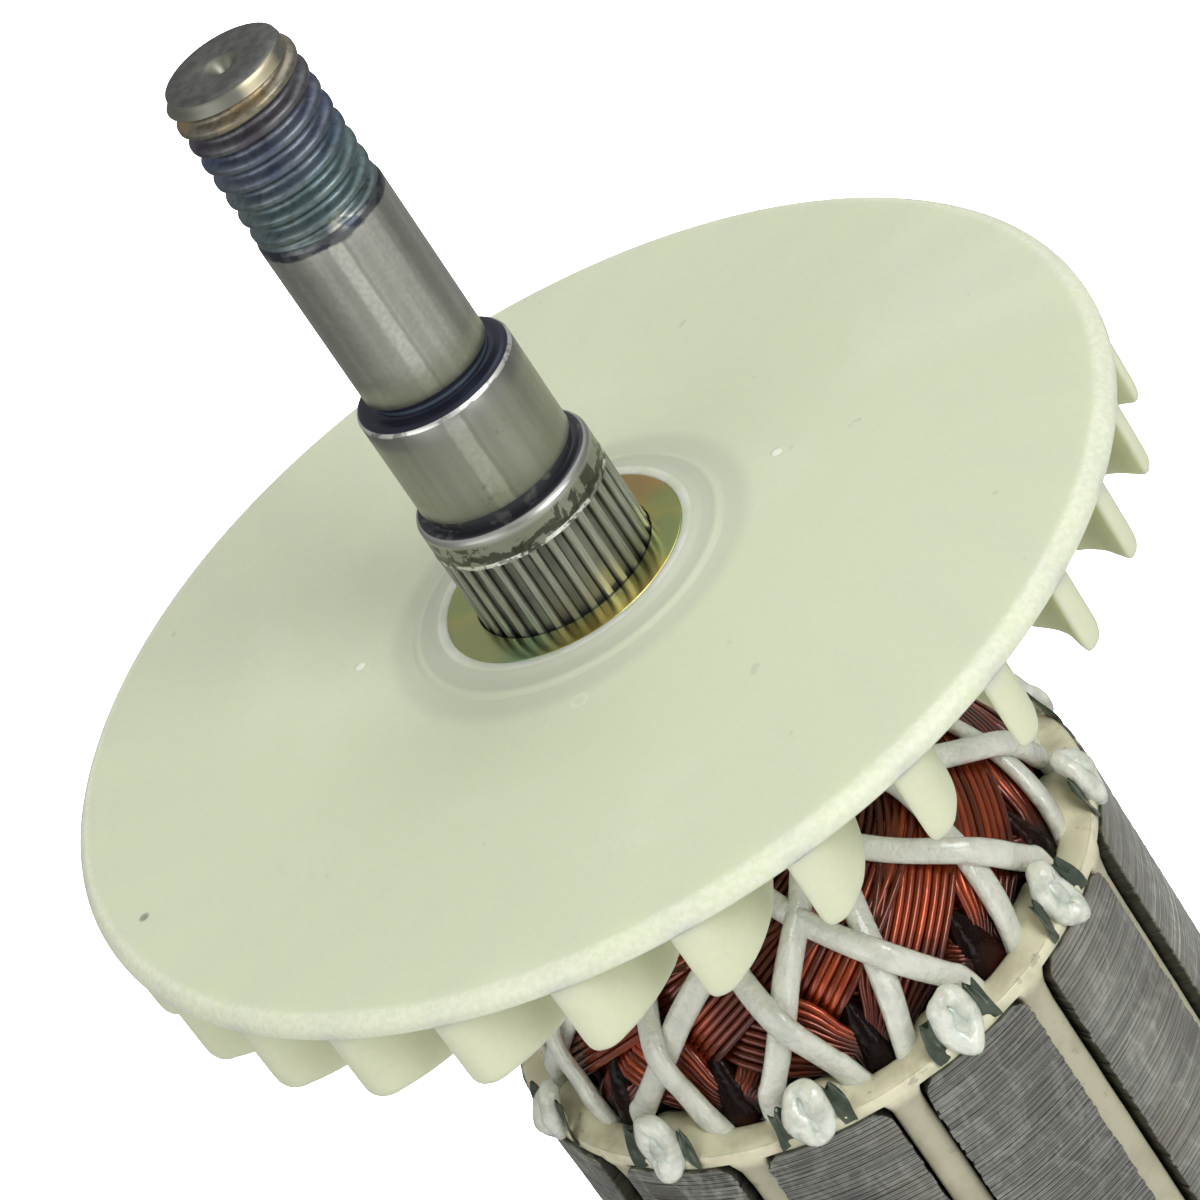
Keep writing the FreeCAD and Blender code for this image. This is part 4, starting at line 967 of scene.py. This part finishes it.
class ARMATURE_OT_core(Operator):
    """Build the laminated core, its end insulation, slot strips and liners"""

    bl_idname = "armature.core"
    bl_label = "Core and insulation"

    def execute(self, context):
        """The four kinds of piece, each in a function of its own."""
        sizes = context.scene.armature_core
        colours = context.scene.armature_colours
        self.core(sizes, colours)
        cream = cream_paint(colours)
        self.insulation(sizes, cream)
        self.strips(sizes, cream)
        self.liners(sizes, colours)
        return {"FINISHED"}

    def core(self, sizes, colours):
        """Slotted outline swept down the stack; each sheet a little in or out, gaps sunk between.

        One slot's outline: down one side of its mouth, round its inside, up the other side, then
        along the tooth's arc to the next slot. At the top the mouths open by a quarter round.
        """
        low, high = core_heights()
        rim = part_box("core_stack")[1].x
        rng = np.random.default_rng(5)
        half = sizes.mouth / 2
        side = math.asin(half / rim)
        arc = np.linspace(side, PITCH - side, 9)
        inside = [(math.sqrt(rim * rim - half * half), -half), (sizes.mouth_r, -half),
                  (sizes.wide_r, -sizes.wide / 2), (sizes.root_r, -sizes.root / 2),
                  (sizes.root_r, sizes.root / 2), (sizes.wide_r, sizes.wide / 2),
                  (sizes.mouth_r, half)]
        slot = np.concatenate([inside, np.stack([rim * np.cos(arc), rim * np.sin(arc)], axis=-1)])
        outline = turned_copies(np.column_stack([slot, np.zeros(len(slot))]),
                                PITCH * np.arange(SLOTS)).reshape(-1, 3)
        # for each point of the outline: how far it shares in the sheets' shift round the axis,
        # whether the gaps are sunk there, and which way the mouth opens
        edge = np.tile([1.0, 0.8, 0, 0, 0, 0, 0.8, 1.0, 0, 0, 0, 0, 0, 0, 0, 1.0], SLOTS)
        outer = np.tile([1.0] + [0.0] * 6 + [1.0] * 9, SLOTS)
        aside = np.tile([-1, -1, 0, 0, 0, 0, 1, 1, 0, 0, 0, 0, 0, 0, 0, -1], SLOTS)
        count = int(round((high - low) / sizes.sheet))
        step = (high - low) / count
        shift = rng.uniform(0.0, 0.05, count) * MM
        twist = rng.normal(0.0, 0.0022, (count, len(edge)))
        base = high - step * np.arange(count)
        sunk = 0.13 * MM
        # each sheet has three rows: the gap over it, its upper edge and its lower edge
        z = np.stack([base - drop * step for drop in (0.0, 0.07, 0.93)], -1).reshape(-1)
        inset = np.stack([shift + sunk, shift, shift], -1).reshape(-1)
        z = np.append(z, low)
        inset = np.append(inset, sunk)
        z[0] = high
        inset[0] = 0.03 * MM
        jitter = np.repeat(twist, 3, axis=0)
        jitter = np.concatenate([jitter, jitter[-1:]])
        radius = np.hypot(outline[:, 0], outline[:, 1])
        turn = np.arctan2(outline[:, 1], outline[:, 0])
        near = np.clip(1 - (high - z) / (1.8 * MM), 0, 1)
        opened = 1.5 * MM * (1 - np.sqrt(1 - near ** 2))
        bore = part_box("insulating_tube")[1].x + 0.02 * MM
        walls = polar(radius - inset[:, None] * outer,
                      turn + jitter * edge + opened[:, None] * aside / radius, z[:, None])
        ends = polar(bore, turn, np.array([[low], [high]]))
        grid = np.concatenate([walls, ends])
        blank = Blank()
        blank.add(grid[None], loop=True)
        blank.piece("Core_Stack", [sheet_paint(colours)], "lamination_steel", ["core_stack"], 30.0)

    def insulation(self, sizes, cream):
        """Ring whose crowned section changes round the axis: higher and deeper at each tooth."""
        low, high = core_heights()
        turn = TURN * np.arange(720) / 720
        tooth = smooth(np.cos(SLOTS * (turn - PITCH / 2)), -0.75, 0.85)
        shares = np.array([0.0, 0.0, 0.0, 0.02, 0.09, 0.24, 0.46, 0.70, 0.88, 0.97, 1.0, 1.0])
        heights = np.array([0.0, 0.36, 0.62, 0.80, 0.90, 0.96, 1.0, 1.0, 0.97, 0.86, 0.60, 0.0])
        for name, node, face, way, tall in (
                ("Front_Insulation", "front_end_insulation", high, 1, sizes.lug_high),
                ("Rear_Insulation", "rear_end_insulation", low, -1, sizes.rim_high)):
            top = sizes.rim_high + (tall - sizes.rim_high) * tooth
            inner = (26.1 - 1.6 * tooth) * MM
            outer = sizes.rim_r + 0.05 * MM * np.sin(31 * turn) * np.sin(7 * turn)
            section = []
            for share, height in zip(shares, heights):
                step = sizes.rim_high + (top - sizes.rim_high) * smooth(share, 0.12, 0.60)
                section.append(polar(outer - share * (outer - inner), turn,
                                     face + way * height * step))
            blank = Blank()
            blank.add(np.stack(section, axis=1)[None], loop=True)
            blank.piece(name, [cream], "cream_plastic", [node], 60.0)

    def strips(self, sizes, cream):
        """Strips in the slot mouths: a crowned section swept down, flared to meet the ring."""
        low, high = core_heights()
        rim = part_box("core_stack")[1].x
        bend = high - 1.8 * MM
        z = np.concatenate([np.linspace(high + 0.86 * sizes.rim_high, bend, 16),
                            np.linspace(bend, low, 24)[1:]])
        over = np.clip((z - high + 1.7 * MM) / (2.6 * MM), 0, 1)
        half = sizes.strip_wide / 2 + 2.2 * MM * (1 - np.sqrt(1 - over ** 2))
        outer = rim - sizes.strip_sunk + 0.02 * MM * np.sin(z * 900)
        outer = outer + 0.72 * MM * smooth(z, high - 3.2 * MM, high - 0.2 * MM)
        across = np.array([-1.0, -0.96, -0.8, -0.4, 0.0, 0.4, 0.8, 0.96, 1.0, 1.0, -1.0])
        sink = np.array([0.35, 0.12, 0.03, 0.0, 0.0, 0.0, 0.03, 0.12, 0.35, 1.9, 1.9]) * MM
        y = half[:, None] * across[None, :]
        r = outer[:, None] - sink[None, :]
        x = np.sqrt(np.maximum(r * r - y * y, 0))
        strip = np.stack([x, y, np.broadcast_to(z[:, None], x.shape)], axis=-1)
        blank = Blank()
        blank.add(turned_copies(strip, PITCH * np.arange(SLOTS)))
        nodes = [numbered("slot_wedge", number) for number in range(SLOTS)]
        blank.piece("Slot_Strips", [cream], "wedge_strip", nodes, 60.0)

    def liners(self, sizes, colours):
        """Film along the inside of each slot, flared and wavy where it stands out of the core."""
        face = core_heights()[1]
        rng = np.random.default_rng(11)
        gap = 0.15 * MM
        film = 0.14 * MM
        root, wide = sizes.root / 2 - gap, sizes.wide / 2 - gap
        inner, outer = sizes.root_r + gap, sizes.wide_r - 0.1 * MM
        path = np.array([(outer, -wide), (inner, -root), (inner, root), (outer, wide)])
        s = np.concatenate([np.linspace(0, 1, 10), np.linspace(1, 2, 4)[1:],
                            np.linspace(2, 3, 10)[1:]])
        line = np.stack([np.interp(s, range(4), path[:, side]) for side in (0, 1)], -1)
        normal = unit(np.gradient(line, axis=0)) @ np.array([[0.0, 1.0], [-1.0, 0.0]])
        rise = np.array([-54.2, -53.0, -52.0, 0.0, 0.8, 1.6, 2.4, 3.2])[:, None] * MM
        near = np.clip(np.abs(s - 1.5) - 1.0, 0, 0.5) / 0.5
        lift = np.where(rise > 0, rise / (3.2 * MM), 0)
        reach = rise * np.where(rise > 0, 0.35 + 0.30 * near, 1.0)
        material = film_paint(colours)
        for number in range(SLOTS):
            wave = rng.uniform(0, TURN, 3)
            flare = lift ** 2 * near * (1.0 + 0.5 * np.sin(5 * s + wave[0])) * 1.2 * MM
            flare = flare + lift * 0.25 * MM * np.sin(9 * s + wave[1])
            wall = line[None] - normal[None] * flare[..., None]
            faces = []
            for offset in (-0.5, 0.5):
                sheet = wall + normal[None] * offset * film
                faces.append(np.concatenate([sheet, (face + reach)[..., None]], axis=-1))
            blank = Blank()
            blank.add(at_slot(np.concatenate([faces[0], faces[1][:, ::-1]], axis=1), number))
            for hand in (-1, 1):
                blank.add(at_slot(self.flap(rng, hand, face, film), number))
            blank.piece(numbered("Slot_Liner", number), [material], "green_film",
                        [numbered("slot_liner", number)], 60.0)

    @staticmethod
    def flap(rng, hand, face, film):
        """Corner of film that stands up beside a tooth's loop: a wavy strip with a ragged top."""
        u = np.linspace(0, 1, 9)[:, None]
        v = np.linspace(-1, 1, 8)[None, :]
        phase = rng.uniform(0, TURN, 3)
        top = rng.uniform(3.4, 4.3) * (1 + 0.12 * np.sin(4 * v + phase[0])) * MM
        z = face + 0.35 * MM + u * top
        wide = rng.uniform(0.62, 0.82) * MM * (0.75 + 0.35 * np.sin(2.6 * u + 0.3))
        y = hand * (4.72 * MM + u * 0.15 * MM + 0.12 * MM * np.sin(5 * u + phase[1])) + v * wide
        x = (29.15 - 0.95 * u ** 1.5 + 0.14 * np.sin(5 * u + 2 * v + phase[2])
             - hand * v * 0.30) * MM
        near, far = (np.stack(np.broadcast_arrays(x + side * film, y, z), axis=-1)
                     for side in (-0.5, 0.5))
        return np.concatenate([near, far[:, ::-1]], axis=1)


def head_line(sizes, layer, turn):
    """Radius and height over the core of a head's middle line; turn runs from 0 at its foot to 1.

    A quarter ellipse blended with the straight line between its ends.
    """
    share = 0.55
    across = share * np.cos(math.pi * turn / 2) + (1 - share) * (1 - turn)
    up = share * np.sin(math.pi * turn / 2) + (1 - share) * turn
    top = sizes.head_out + sizes.head_high
    foot = sizes.foot_r
    if layer == "inner":
        top = top - sizes.head_thick - 0.4 * MM
        foot = sizes.low_r
    return (sizes.nose_r + (foot - sizes.nose_r) * across,
            sizes.head_out + (top - sizes.head_out) * up)


def head_swing(sizes, layer, turn):
    """Angle round the axis from a coil's outer side.

    First in step with the rise (height less 0.61 of the radius), then faster by turn^4.
    """
    whole, share = (0.567, 0.62) if layer == "outer" else (0.433, 0.8)
    rise = []
    for at in (turn, 0.0, 1.0):
        radius, height = head_line(sizes, "outer", at)
        rise.append(height - 0.61 * radius)
    even = (rise[0] - rise[1]) / (rise[2] - rise[1])
    swing = sizes.span * whole * (share * even + (1 - share) * turn ** 4)
    return swing if layer == "outer" else sizes.span - swing


class ARMATURE_OT_winding(Operator):
    """Build the coils from their wires, with varnish between them"""

    bl_idname = "armature.winding"
    bl_label = "Coils"

    def execute(self, context):
        """Each coil: the base in its slots, the wires of its two heads and a pool of varnish."""
        sizes = context.scene.armature_winding
        colours = context.scene.armature_colours
        materials = [wire_paint(colours), varnish_paint(colours)]
        low, high = core_heights()
        for number in range(SLOTS):
            blank = Blank()
            self.base(blank, sizes, low, high, number)
            self.wires(blank, sizes, high, 1, number)
            self.wires(blank, sizes, low, -1, number)
            self.pool(blank, high, number)
            blank.piece(numbered("Coil", number), materials, "enamelled_wire",
                        [numbered("coil", number)], 60.0)
        return {"FINISHED"}

    def base(self, blank, sizes, low, high, number):
        """Closed loop through two slots that carries the wires: a flat oval section swept."""
        turn = np.linspace(0, 1, 14)
        rows = []
        for face, way in ((high, 1), (low, -1)):
            path = []
            for layer, order in (("outer", turn), ("inner", turn[::-1])):
                radius, height = head_line(sizes, layer, order)
                swing = head_swing(sizes, layer, order)
                path.append(polar(radius - 0.9 * MM, swing, face + way * (height - 0.5 * MM)))
            path = np.concatenate(path)
            rows.append(path if way > 0 else path[::-1])
        line = at_slot(np.concatenate(rows), number)
        blank.add(tubes(line, 1.7 * MM, 1.15 * MM, 10, power=0.7), finish=1, tone=0.1, loop=True)

    def wires(self, blank, sizes, face, way, number):
        """Wires of one head: lines beside each other that leave one slot, turn and enter the next.

        A wire's place in the bundle is its distance across and its depth; the bundle widens from
        the slot to the middle of the head. Near its two feet each leg leans away from its
        neighbour in the slot, and a leg that passes under another is sunk where they cross.
        """
        rng = np.random.default_rng(100 + number * 2 + (way > 0))
        turn = np.linspace(0, 1, 26)
        d = sizes.wire_d
        # two layers of wires: place across and depth, in wire diameters
        count = 10
        across = np.arange(count) - (count - 1) / 2
        across = np.concatenate([across, across[:-1] + 0.5])
        depth = (np.arange(len(across)) >= count) * 1.0
        beside = 1.25 * MM  # how far a leg leans from its neighbour in the slot
        carried = 1.55 * MM  # height of the wires over the head's middle line
        under = 1.6 * MM  # how far a leg that passes under another is sunk
        nose_under = 2.3 * MM  # how far the inner leg is sunk at its nose
        down = np.array([-4.0, -1.6, 0.3]) * MM
        legs = []
        for layer, order, on_top in (("outer", turn, self.on_top(number)),
                                     ("inner", turn[::-1], not self.on_top(number + 4))):
            first = layer == "outer"
            sense = 1 if first else -1
            radius, height = head_line(sizes, "outer", order)
            swing = head_swing(sizes, layer, order)
            gone = np.degrees(swing if first else sizes.span - swing)
            swing = swing + sense * beside / sizes.foot_r * (1 - smooth(order, 0, 0.25))
            ahead = np.gradient(radius), np.gradient(height)
            size = np.hypot(*ahead) * sense
            normal = np.stack([ahead[1] / size, -ahead[0] / size], -1)
            crossed = smooth(gone, 20, 27)
            if on_top:
                sunk = 0.0 if first else crossed
            else:
                sunk = smooth(gone, 1, 6) * (1 - crossed * first)
            lift = carried - under * sunk - (0 if first else nose_under) * smooth(order, 0.7, 1.0)
            leg = (radius + normal[:, 0] * lift, height + normal[:, 1] * lift, swing, normal,
                   order)
            # the leg's foot goes straight down into the slot
            foot = (np.full(3, sizes.foot_r + 1.75 * MM), down,
                    np.full(3, swing[0 if first else -1]), np.tile([1.0, 0.0], (3, 1)),
                    np.zeros(3))
            pairs = zip(foot, leg) if first else zip(leg, (part[::-1] for part in foot))
            legs.append([np.concatenate(pair) for pair in pairs])
        radius, height, swing, normal, order = (np.concatenate(pair) for pair in zip(*legs))
        line = polar(radius, swing, face + way * height)
        out = polar(normal[:, 0], swing, way * normal[:, 1])
        side = unit(np.cross(unit(np.gradient(line, axis=0)), out))
        fan_out = 0.50 + 0.46 * smooth(order, 0.0, 0.25)
        t = np.linspace(0, 1, len(line))
        wobble = rng.normal(0, 0.035, (len(across), 4))
        wave = sum(wobble[:, k, None] * np.sin((k + 1) * math.pi * t * 1.7
                                              + rng.uniform(0, TURN, (len(across), 1)))
                   for k in range(3))
        a = (across[:, None] * fan_out + wave) * d * 0.98
        b = (-depth[:, None] * 0.86 + 0.4 * wobble[:, 3, None] * np.sin(TURN * t * 1.5)) * d
        lines = line[None] + side[None] * a[..., None] + out[None] * b[..., None]
        tone = rng.uniform(0.15, 1.0, (len(across), 1, 1))
        blank.add(tubes(at_slot(lines, number)[0], d / 2, d / 2, 8 if way > 0 else 6), tone=tone)

    @staticmethod
    def on_top(number):
        """Whether the leg that leans right from this slot lies over the one it crosses."""
        return number % SLOTS not in (7, 8)

    @staticmethod
    def pool(blank, face, number):
        """Drop of varnish between the legs in a slot's mouth: a squashed ball with a wavy side."""
        rng = np.random.default_rng(200 + number)
        u = np.linspace(0.04, math.pi - 0.04, 14)[:, None]
        v = (TURN * np.arange(18) / 18)[None, :]
        wave = 1 + 0.10 * np.sin(3 * v + rng.uniform(0, TURN)) * np.sin(u)
        x = 1.35 * MM * np.sin(u) * np.cos(v) * wave
        y = rng.uniform(1.7, 2.2) * MM * np.sin(u) * np.sin(v) * wave * (1 - 0.4 * np.cos(u))
        z = 4.6 * MM * np.cos(u) + 0 * v
        aside = rng.uniform(-0.6, 0.6) * MM
        grid = np.stack([x + 24.55 * MM - 0.25 * z, y + aside, z + face + 3.2 * MM], axis=-1)
        blank.add(at_slot(grid, number), finish=1)


class ARMATURE_OT_lacing(Operator):
    """Build the lacing: crossing strands on each tooth and the loops at the core's rim"""

    bl_idname = "armature.lacing"
    bl_label = "Lacing"

    def execute(self, context):
        """The two layers of strands, then the loops."""
        sizes = context.scene.armature_winding
        colours = context.scene.armature_colours
        self.strands(sizes, colours)
        self.loops(sizes, colours)
        return {"FINISHED"}

    def strands(self, sizes, colours):
        """Cords over the coil heads: each from one side of a tooth across to the other."""
        face = core_heights()[1]
        material = cord_paint(colours)
        half = sizes.cord_d / 2
        flat = 0.62  # a strand's thickness over its width
        crossing, hump = 5.4 * MM, 3.0 * MM  # way to the crossing, and length of the rise over it
        for name, node, sense, raised in (("Lacing_Under", "lacing_under", -1, 0.0),
                                          ("Lacing_Over", "lacing_over", 1, 1.0)):
            rng = np.random.default_rng(30 + sense)
            turn = np.array([0.0, 0.05, 0.14, 0.24, 0.36, 0.5, 0.66, 0.82, 0.97])
            radius, height = head_line(sizes, "outer", turn)
            ahead = head_line(sizes, "outer", turn + 0.01)
            run = unit(np.stack([ahead[0] - radius, ahead[1] - height], axis=-1))
            far = np.concatenate([[0.0], np.cumsum(np.hypot(np.diff(radius), np.diff(height)))])
            extra = np.exp(-((far - crossing) / hump) ** 2)
            reach = 1.9 * MM + half * flat + raised * extra * sizes.cord_d * flat
            lines, wide = [], []
            for number in range(SLOTS):
                slope = 0.0438 * LEANS[sense][number] / MM
                bent = 1 + 0.28 * smooth(turn, 0.45, 1.0) * (sense < 0)
                swing = sense * (0.158 - slope * (far + 1.2 * MM) * bent) + rng.normal(0, 0.008)
                points = polar(radius + reach * run[:, 1], swing,
                               face + height - reach * run[:, 0])
                foot = [polar(25.7 * MM, swing[0] + sense * 0.035, face - 0.6 * MM),
                        polar(26.25 * MM, swing[0] + sense * 0.022, face + 1.2 * MM)]
                line = spline(np.concatenate([foot, points]), 40)
                lines.append(at_slot(line, number + 0.5)[0])
                wide.append(half * (1 + 0.05 * np.sin(np.linspace(0, 9, 40) + number)))
            wide = np.stack(wide)
            blank = Blank()
            blank.add(tubes(np.stack(lines), wide, wide * flat, 16, power=0.8))
            blank.piece(name, [material], "lacing_cord", [node], 60.0)

    def loops(self, sizes, colours):
        """Loop of cord on each tooth, leaning over the rim, with a drop of varnish in its middle.

        Loop: (a + t cos w) cos v aside, (b + t cos w) sin v up and t sin w outward, with t, a and
        b a little wavy round v. Drop: a squashed ball.
        """
        face = core_heights()[1]
        rng = np.random.default_rng(77)
        v = (TURN * np.arange(36) / 36)[:, None]
        w = (TURN * np.arange(16) / 16)[None, :]
        u = np.linspace(0.05, math.pi - 0.05, 8)[:, None]
        lean = math.radians(17)
        blank = Blank()
        for number in range(SLOTS):
            phase = rng.uniform(0, TURN, 4)
            thick = 1.12 * MM * (1 + 0.17 * np.sin(2 * v + phase[0])
                                 + 0.10 * np.sin(3 * v + phase[1])
                                 + 0.07 * np.sin(5 * v + 2 * w + phase[3]))
            broad = sizes.cord_d * 0.43 * rng.uniform(0.88, 1.05)
            tall = (sizes.loop_high / 2 - 0.95 * MM) * rng.uniform(0.95, 1.08)
            tilt = rng.normal(0, 0.10)
            ring_x = (broad + thick * np.cos(w)) * np.cos(v)
            ring_y = (tall + thick * np.cos(w)) * np.sin(v)
            ring_z = thick * 0.90 * np.sin(w) + 0.30 * MM * np.sin(2 * v + phase[2])
            drop = [1.0 * MM * np.sin(u) * np.cos(w), 2.1 * MM * np.cos(u) + 0 * w,
                    0.95 * MM * np.sin(u) * np.sin(w)]
            for (x, y, out), tone, loop in (((ring_x, ring_y, ring_z), 1.0, True),
                                            (drop, 0.8, False)):
                aside = x * math.cos(tilt) - y * math.sin(tilt)
                up = x * math.sin(tilt) + y * math.cos(tilt)
                seat = 29.1 * MM + out * math.cos(lean) - up * math.sin(lean)
                z = face + 1.9 * MM + out * math.sin(lean) + (up + 0.9 * MM) * math.cos(lean)
                knot = np.stack(np.broadcast_arrays(seat, aside, z), axis=-1)
                blank.add(at_slot(knot, number + 0.5), tone=tone, loop=loop)
        blank.piece("Lacing_Loops", [loop_paint(colours)], "lacing_cord", ["lacing_loops"], 60.0)


class ARMATURE_OT_rear(Operator):
    """Build the insulating tube, the commutator and its leads"""

    bl_idname = "armature.rear"
    bl_label = "Commutator"

    def execute(self, context):
        """Tube and hub: closed profiles turned. Bars: a stepped profile swept over an angle each.

        Leads: curves from the rear heads to the hooks, one to a bar.
        """
        sizes = context.scene.armature_rear
        winding = context.scene.armature_winding
        colours = context.scene.armature_colours
        bore = 8.04 * MM
        blank = Blank()
        blank.add(plain_ring(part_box("insulating_tube"), bore, 0.15 * MM, 128), loop=True)
        blank.piece("Insulating_Tube", [tube_paint(colours)], "tube_laminate", ["insulating_tube"])
        blank = Blank()
        blank.add(plain_ring(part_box("commutator_hub"), bore, 0.25 * MM, 128), loop=True)
        blank.piece("Commutator_Hub", [moulding_paint(colours)], "brown_moulding",
                    ["commutator_hub"])

        low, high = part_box("commutator_bars")
        track, hook = sizes.track_r, sizes.hook_r
        root = track - sizes.bar_deep
        neck = high.z - sizes.hook_wide
        profile = rounded([(root, low.z), (track, low.z), (track, neck), (hook, neck + 0.4 * MM),
                           (hook, high.z), (root, high.z)], 0.2 * MM)
        pitch = TURN / sizes.bar_count
        half = pitch / 2 - sizes.bar_gap / track / 2
        swing = np.linspace(-half, half, 5)
        bar = polar(profile[None, :, 0], swing[:, None], profile[None, :, 1])
        places = pitch * (np.arange(sizes.bar_count) + 0.5)
        blank = Blank()
        blank.add(turned_copies(bar, places))
        blank.piece("Commutator_Bars", [copper_paint(colours)], "bar_copper",
                    ["commutator_bars"])

        face = core_heights()[0]
        radius, height = head_line(winding, "outer", np.array([0.55, 0.56]))
        run = unit(np.array([radius[1] - radius[0], height[1] - height[0]]))
        reach = 1.9 * MM + sizes.lead_d / 2 + 0.15 * MM
        end_r = hook - sizes.lead_d
        points = [polar(radius[0] + reach * run[1], -pitch * 0.6,
                        face - height[0] + reach * run[0]),
                  polar(end_r + 1.2 * MM, -pitch * 0.35, (face + high.z) / 2 - 5.0 * MM),
                  polar(end_r, 0.0, high.z + 0.6 * MM)]
        lead = sizes.lead_d / 2
        blank = Blank()
        blank.add(tubes(turned_copies(spline(points, 14), places), lead, lead, 10), tone=0.7)
        blank.piece("Winding_Leads", [bpy.data.materials["Enamelled_Wire"]], "enamelled_wire",
                    ["winding_leads"], 60.0)
        return {"FINISHED"}


class ARMATURE_OT_stage(Operator):
    """Build the floor, the lamps and the camera"""

    bl_idname = "armature.stage"
    bl_label = "Stage"

    def execute(self, context):
        """Floor under the shaft's end, even light from the world, five area lamps, the camera."""
        sizes = context.scene.armature_stage
        floor_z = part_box("shaft")[0].z
        mesh = bpy.data.meshes.new("Floor")
        far = 4.0
        corners = [(-far, -far, floor_z), (far, -far, floor_z), (far, far, floor_z),
                   (-far, far, floor_z)]
        mesh.from_pydata(corners, [], [(0, 1, 2, 3)])
        mesh.materials.append(floor_paint())
        floor = bpy.data.objects.new("Floor", mesh)
        context.scene.collection.objects.link(floor)

        world = bpy.data.worlds.new("Studio")
        context.scene.world = world
        world.use_nodes = True
        world.node_tree.nodes.clear()
        start = Wire(world.node_tree)
        camera_ray = start.node("ShaderNodeLightPath", output=0)
        way = start.node("ShaderNodeTexCoord", output=0)
        up = start.node("ShaderNodeSeparateXYZ", None, {0: way}, 2)
        sky = up.step(-0.2, 0.9).blend((0.80, 0.82, 0.84), (1.0, 1.0, 0.99)) * sizes.sky
        ground = start.node("ShaderNodeBackground", None,
                            {"Color": camera_ray.blend(sky, (1.0, 1.0, 1.0))})
        start.node("ShaderNodeOutputWorld", None, {0: ground})

        for name, place, size, power in (
                ("Key_Lamp", (0.55, -0.65, 0.65), 0.55, sizes.key),
                ("Fill_Lamp", (-0.75, -0.45, 0.35), 0.7, sizes.fill),
                ("Front_Lamp", (0.40, -0.80, 0.10), 0.35, sizes.front),
                ("Low_Lamp", (-0.60, -0.70, 0.0), 0.5, 0.7 * sizes.front),
                ("Top_Lamp", (0.35, 0.40, 0.85), 0.6, 1.4 * sizes.fill)):
            lamp = bpy.data.lights.new(name, "AREA")
            lamp.energy = power
            lamp.size = size
            holder = bpy.data.objects.new(name, lamp)
            holder.location = place
            aim = Vector((0.0, 0.0, -0.03)) - Vector(place)
            holder.rotation_euler = aim.to_track_quat("-Z", "Y").to_euler()
            context.scene.collection.objects.link(holder)

        camera = bpy.data.cameras.new("Camera")
        camera.sensor_width = 36.0
        camera.lens = sizes.lens
        camera.clip_start = 0.01
        eye = bpy.data.objects.new("Camera", camera)
        # the camera's right, up and backward directions and its place
        matrix = Matrix(((0.84097, -0.24913, -0.48031), (0.53923, 0.45921, 0.70595),
                         (0.04469, -0.85268, 0.52052))).transposed().to_4x4()
        matrix.translation = (0.021249, -0.38609, 0.21328)
        eye.matrix_world = matrix
        context.scene.collection.objects.link(eye)
        context.scene.camera = eye
        context.scene.view_settings.view_transform = "Standard"
        return {"FINISHED"}


OPERATORS = (
    ARMATURE_OT_shaft,
    ARMATURE_OT_fan,
    ARMATURE_OT_core,
    ARMATURE_OT_winding,
    ARMATURE_OT_lacing,
    ARMATURE_OT_rear,
    ARMATURE_OT_stage,
)


class ARMATURE_PT_panel(Panel):
    """Sizes, colours and the buttons that build each piece"""

    bl_label = "Motor armature"
    bl_space_type = "VIEW_3D"
    bl_region_type = "UI"
    bl_category = "Armature"

    def draw(self, context):
        """Each group of sizes in a box of its own, then a button for each operator."""
        for name, group in GROUPS:
            box = self.layout.box()
            box.label(text=group.__doc__)
            values = getattr(context.scene, name)
            for key in group.__annotations__:
                box.prop(values, key)
        for operator in OPERATORS:
            self.layout.operator(operator.bl_idname)


def register():
    """Register the classes and put each group of sizes on the scene."""
    for name, group in GROUPS:
        bpy.utils.register_class(group)
        setattr(bpy.types.Scene, name, PointerProperty(type=group))
    for kind in OPERATORS + (ARMATURE_PT_panel,):
        bpy.utils.register_class(kind)


def unregister():
    """Take the classes and the groups of sizes off again."""
    for kind in (ARMATURE_PT_panel,) + OPERATORS[::-1]:
        bpy.utils.unregister_class(kind)
    for name, group in GROUPS[::-1]:
        delattr(bpy.types.Scene, name)
        bpy.utils.unregister_class(group)


def main():
    """Build everything round the frame."""
    register()
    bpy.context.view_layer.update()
    bpy.ops.armature.shaft()
    bpy.ops.armature.fan()
    bpy.ops.armature.core()
    bpy.ops.armature.winding()
    bpy.ops.armature.lacing()
    bpy.ops.armature.rear()
    bpy.ops.armature.stage()


if __name__ == "__main__":
    main()
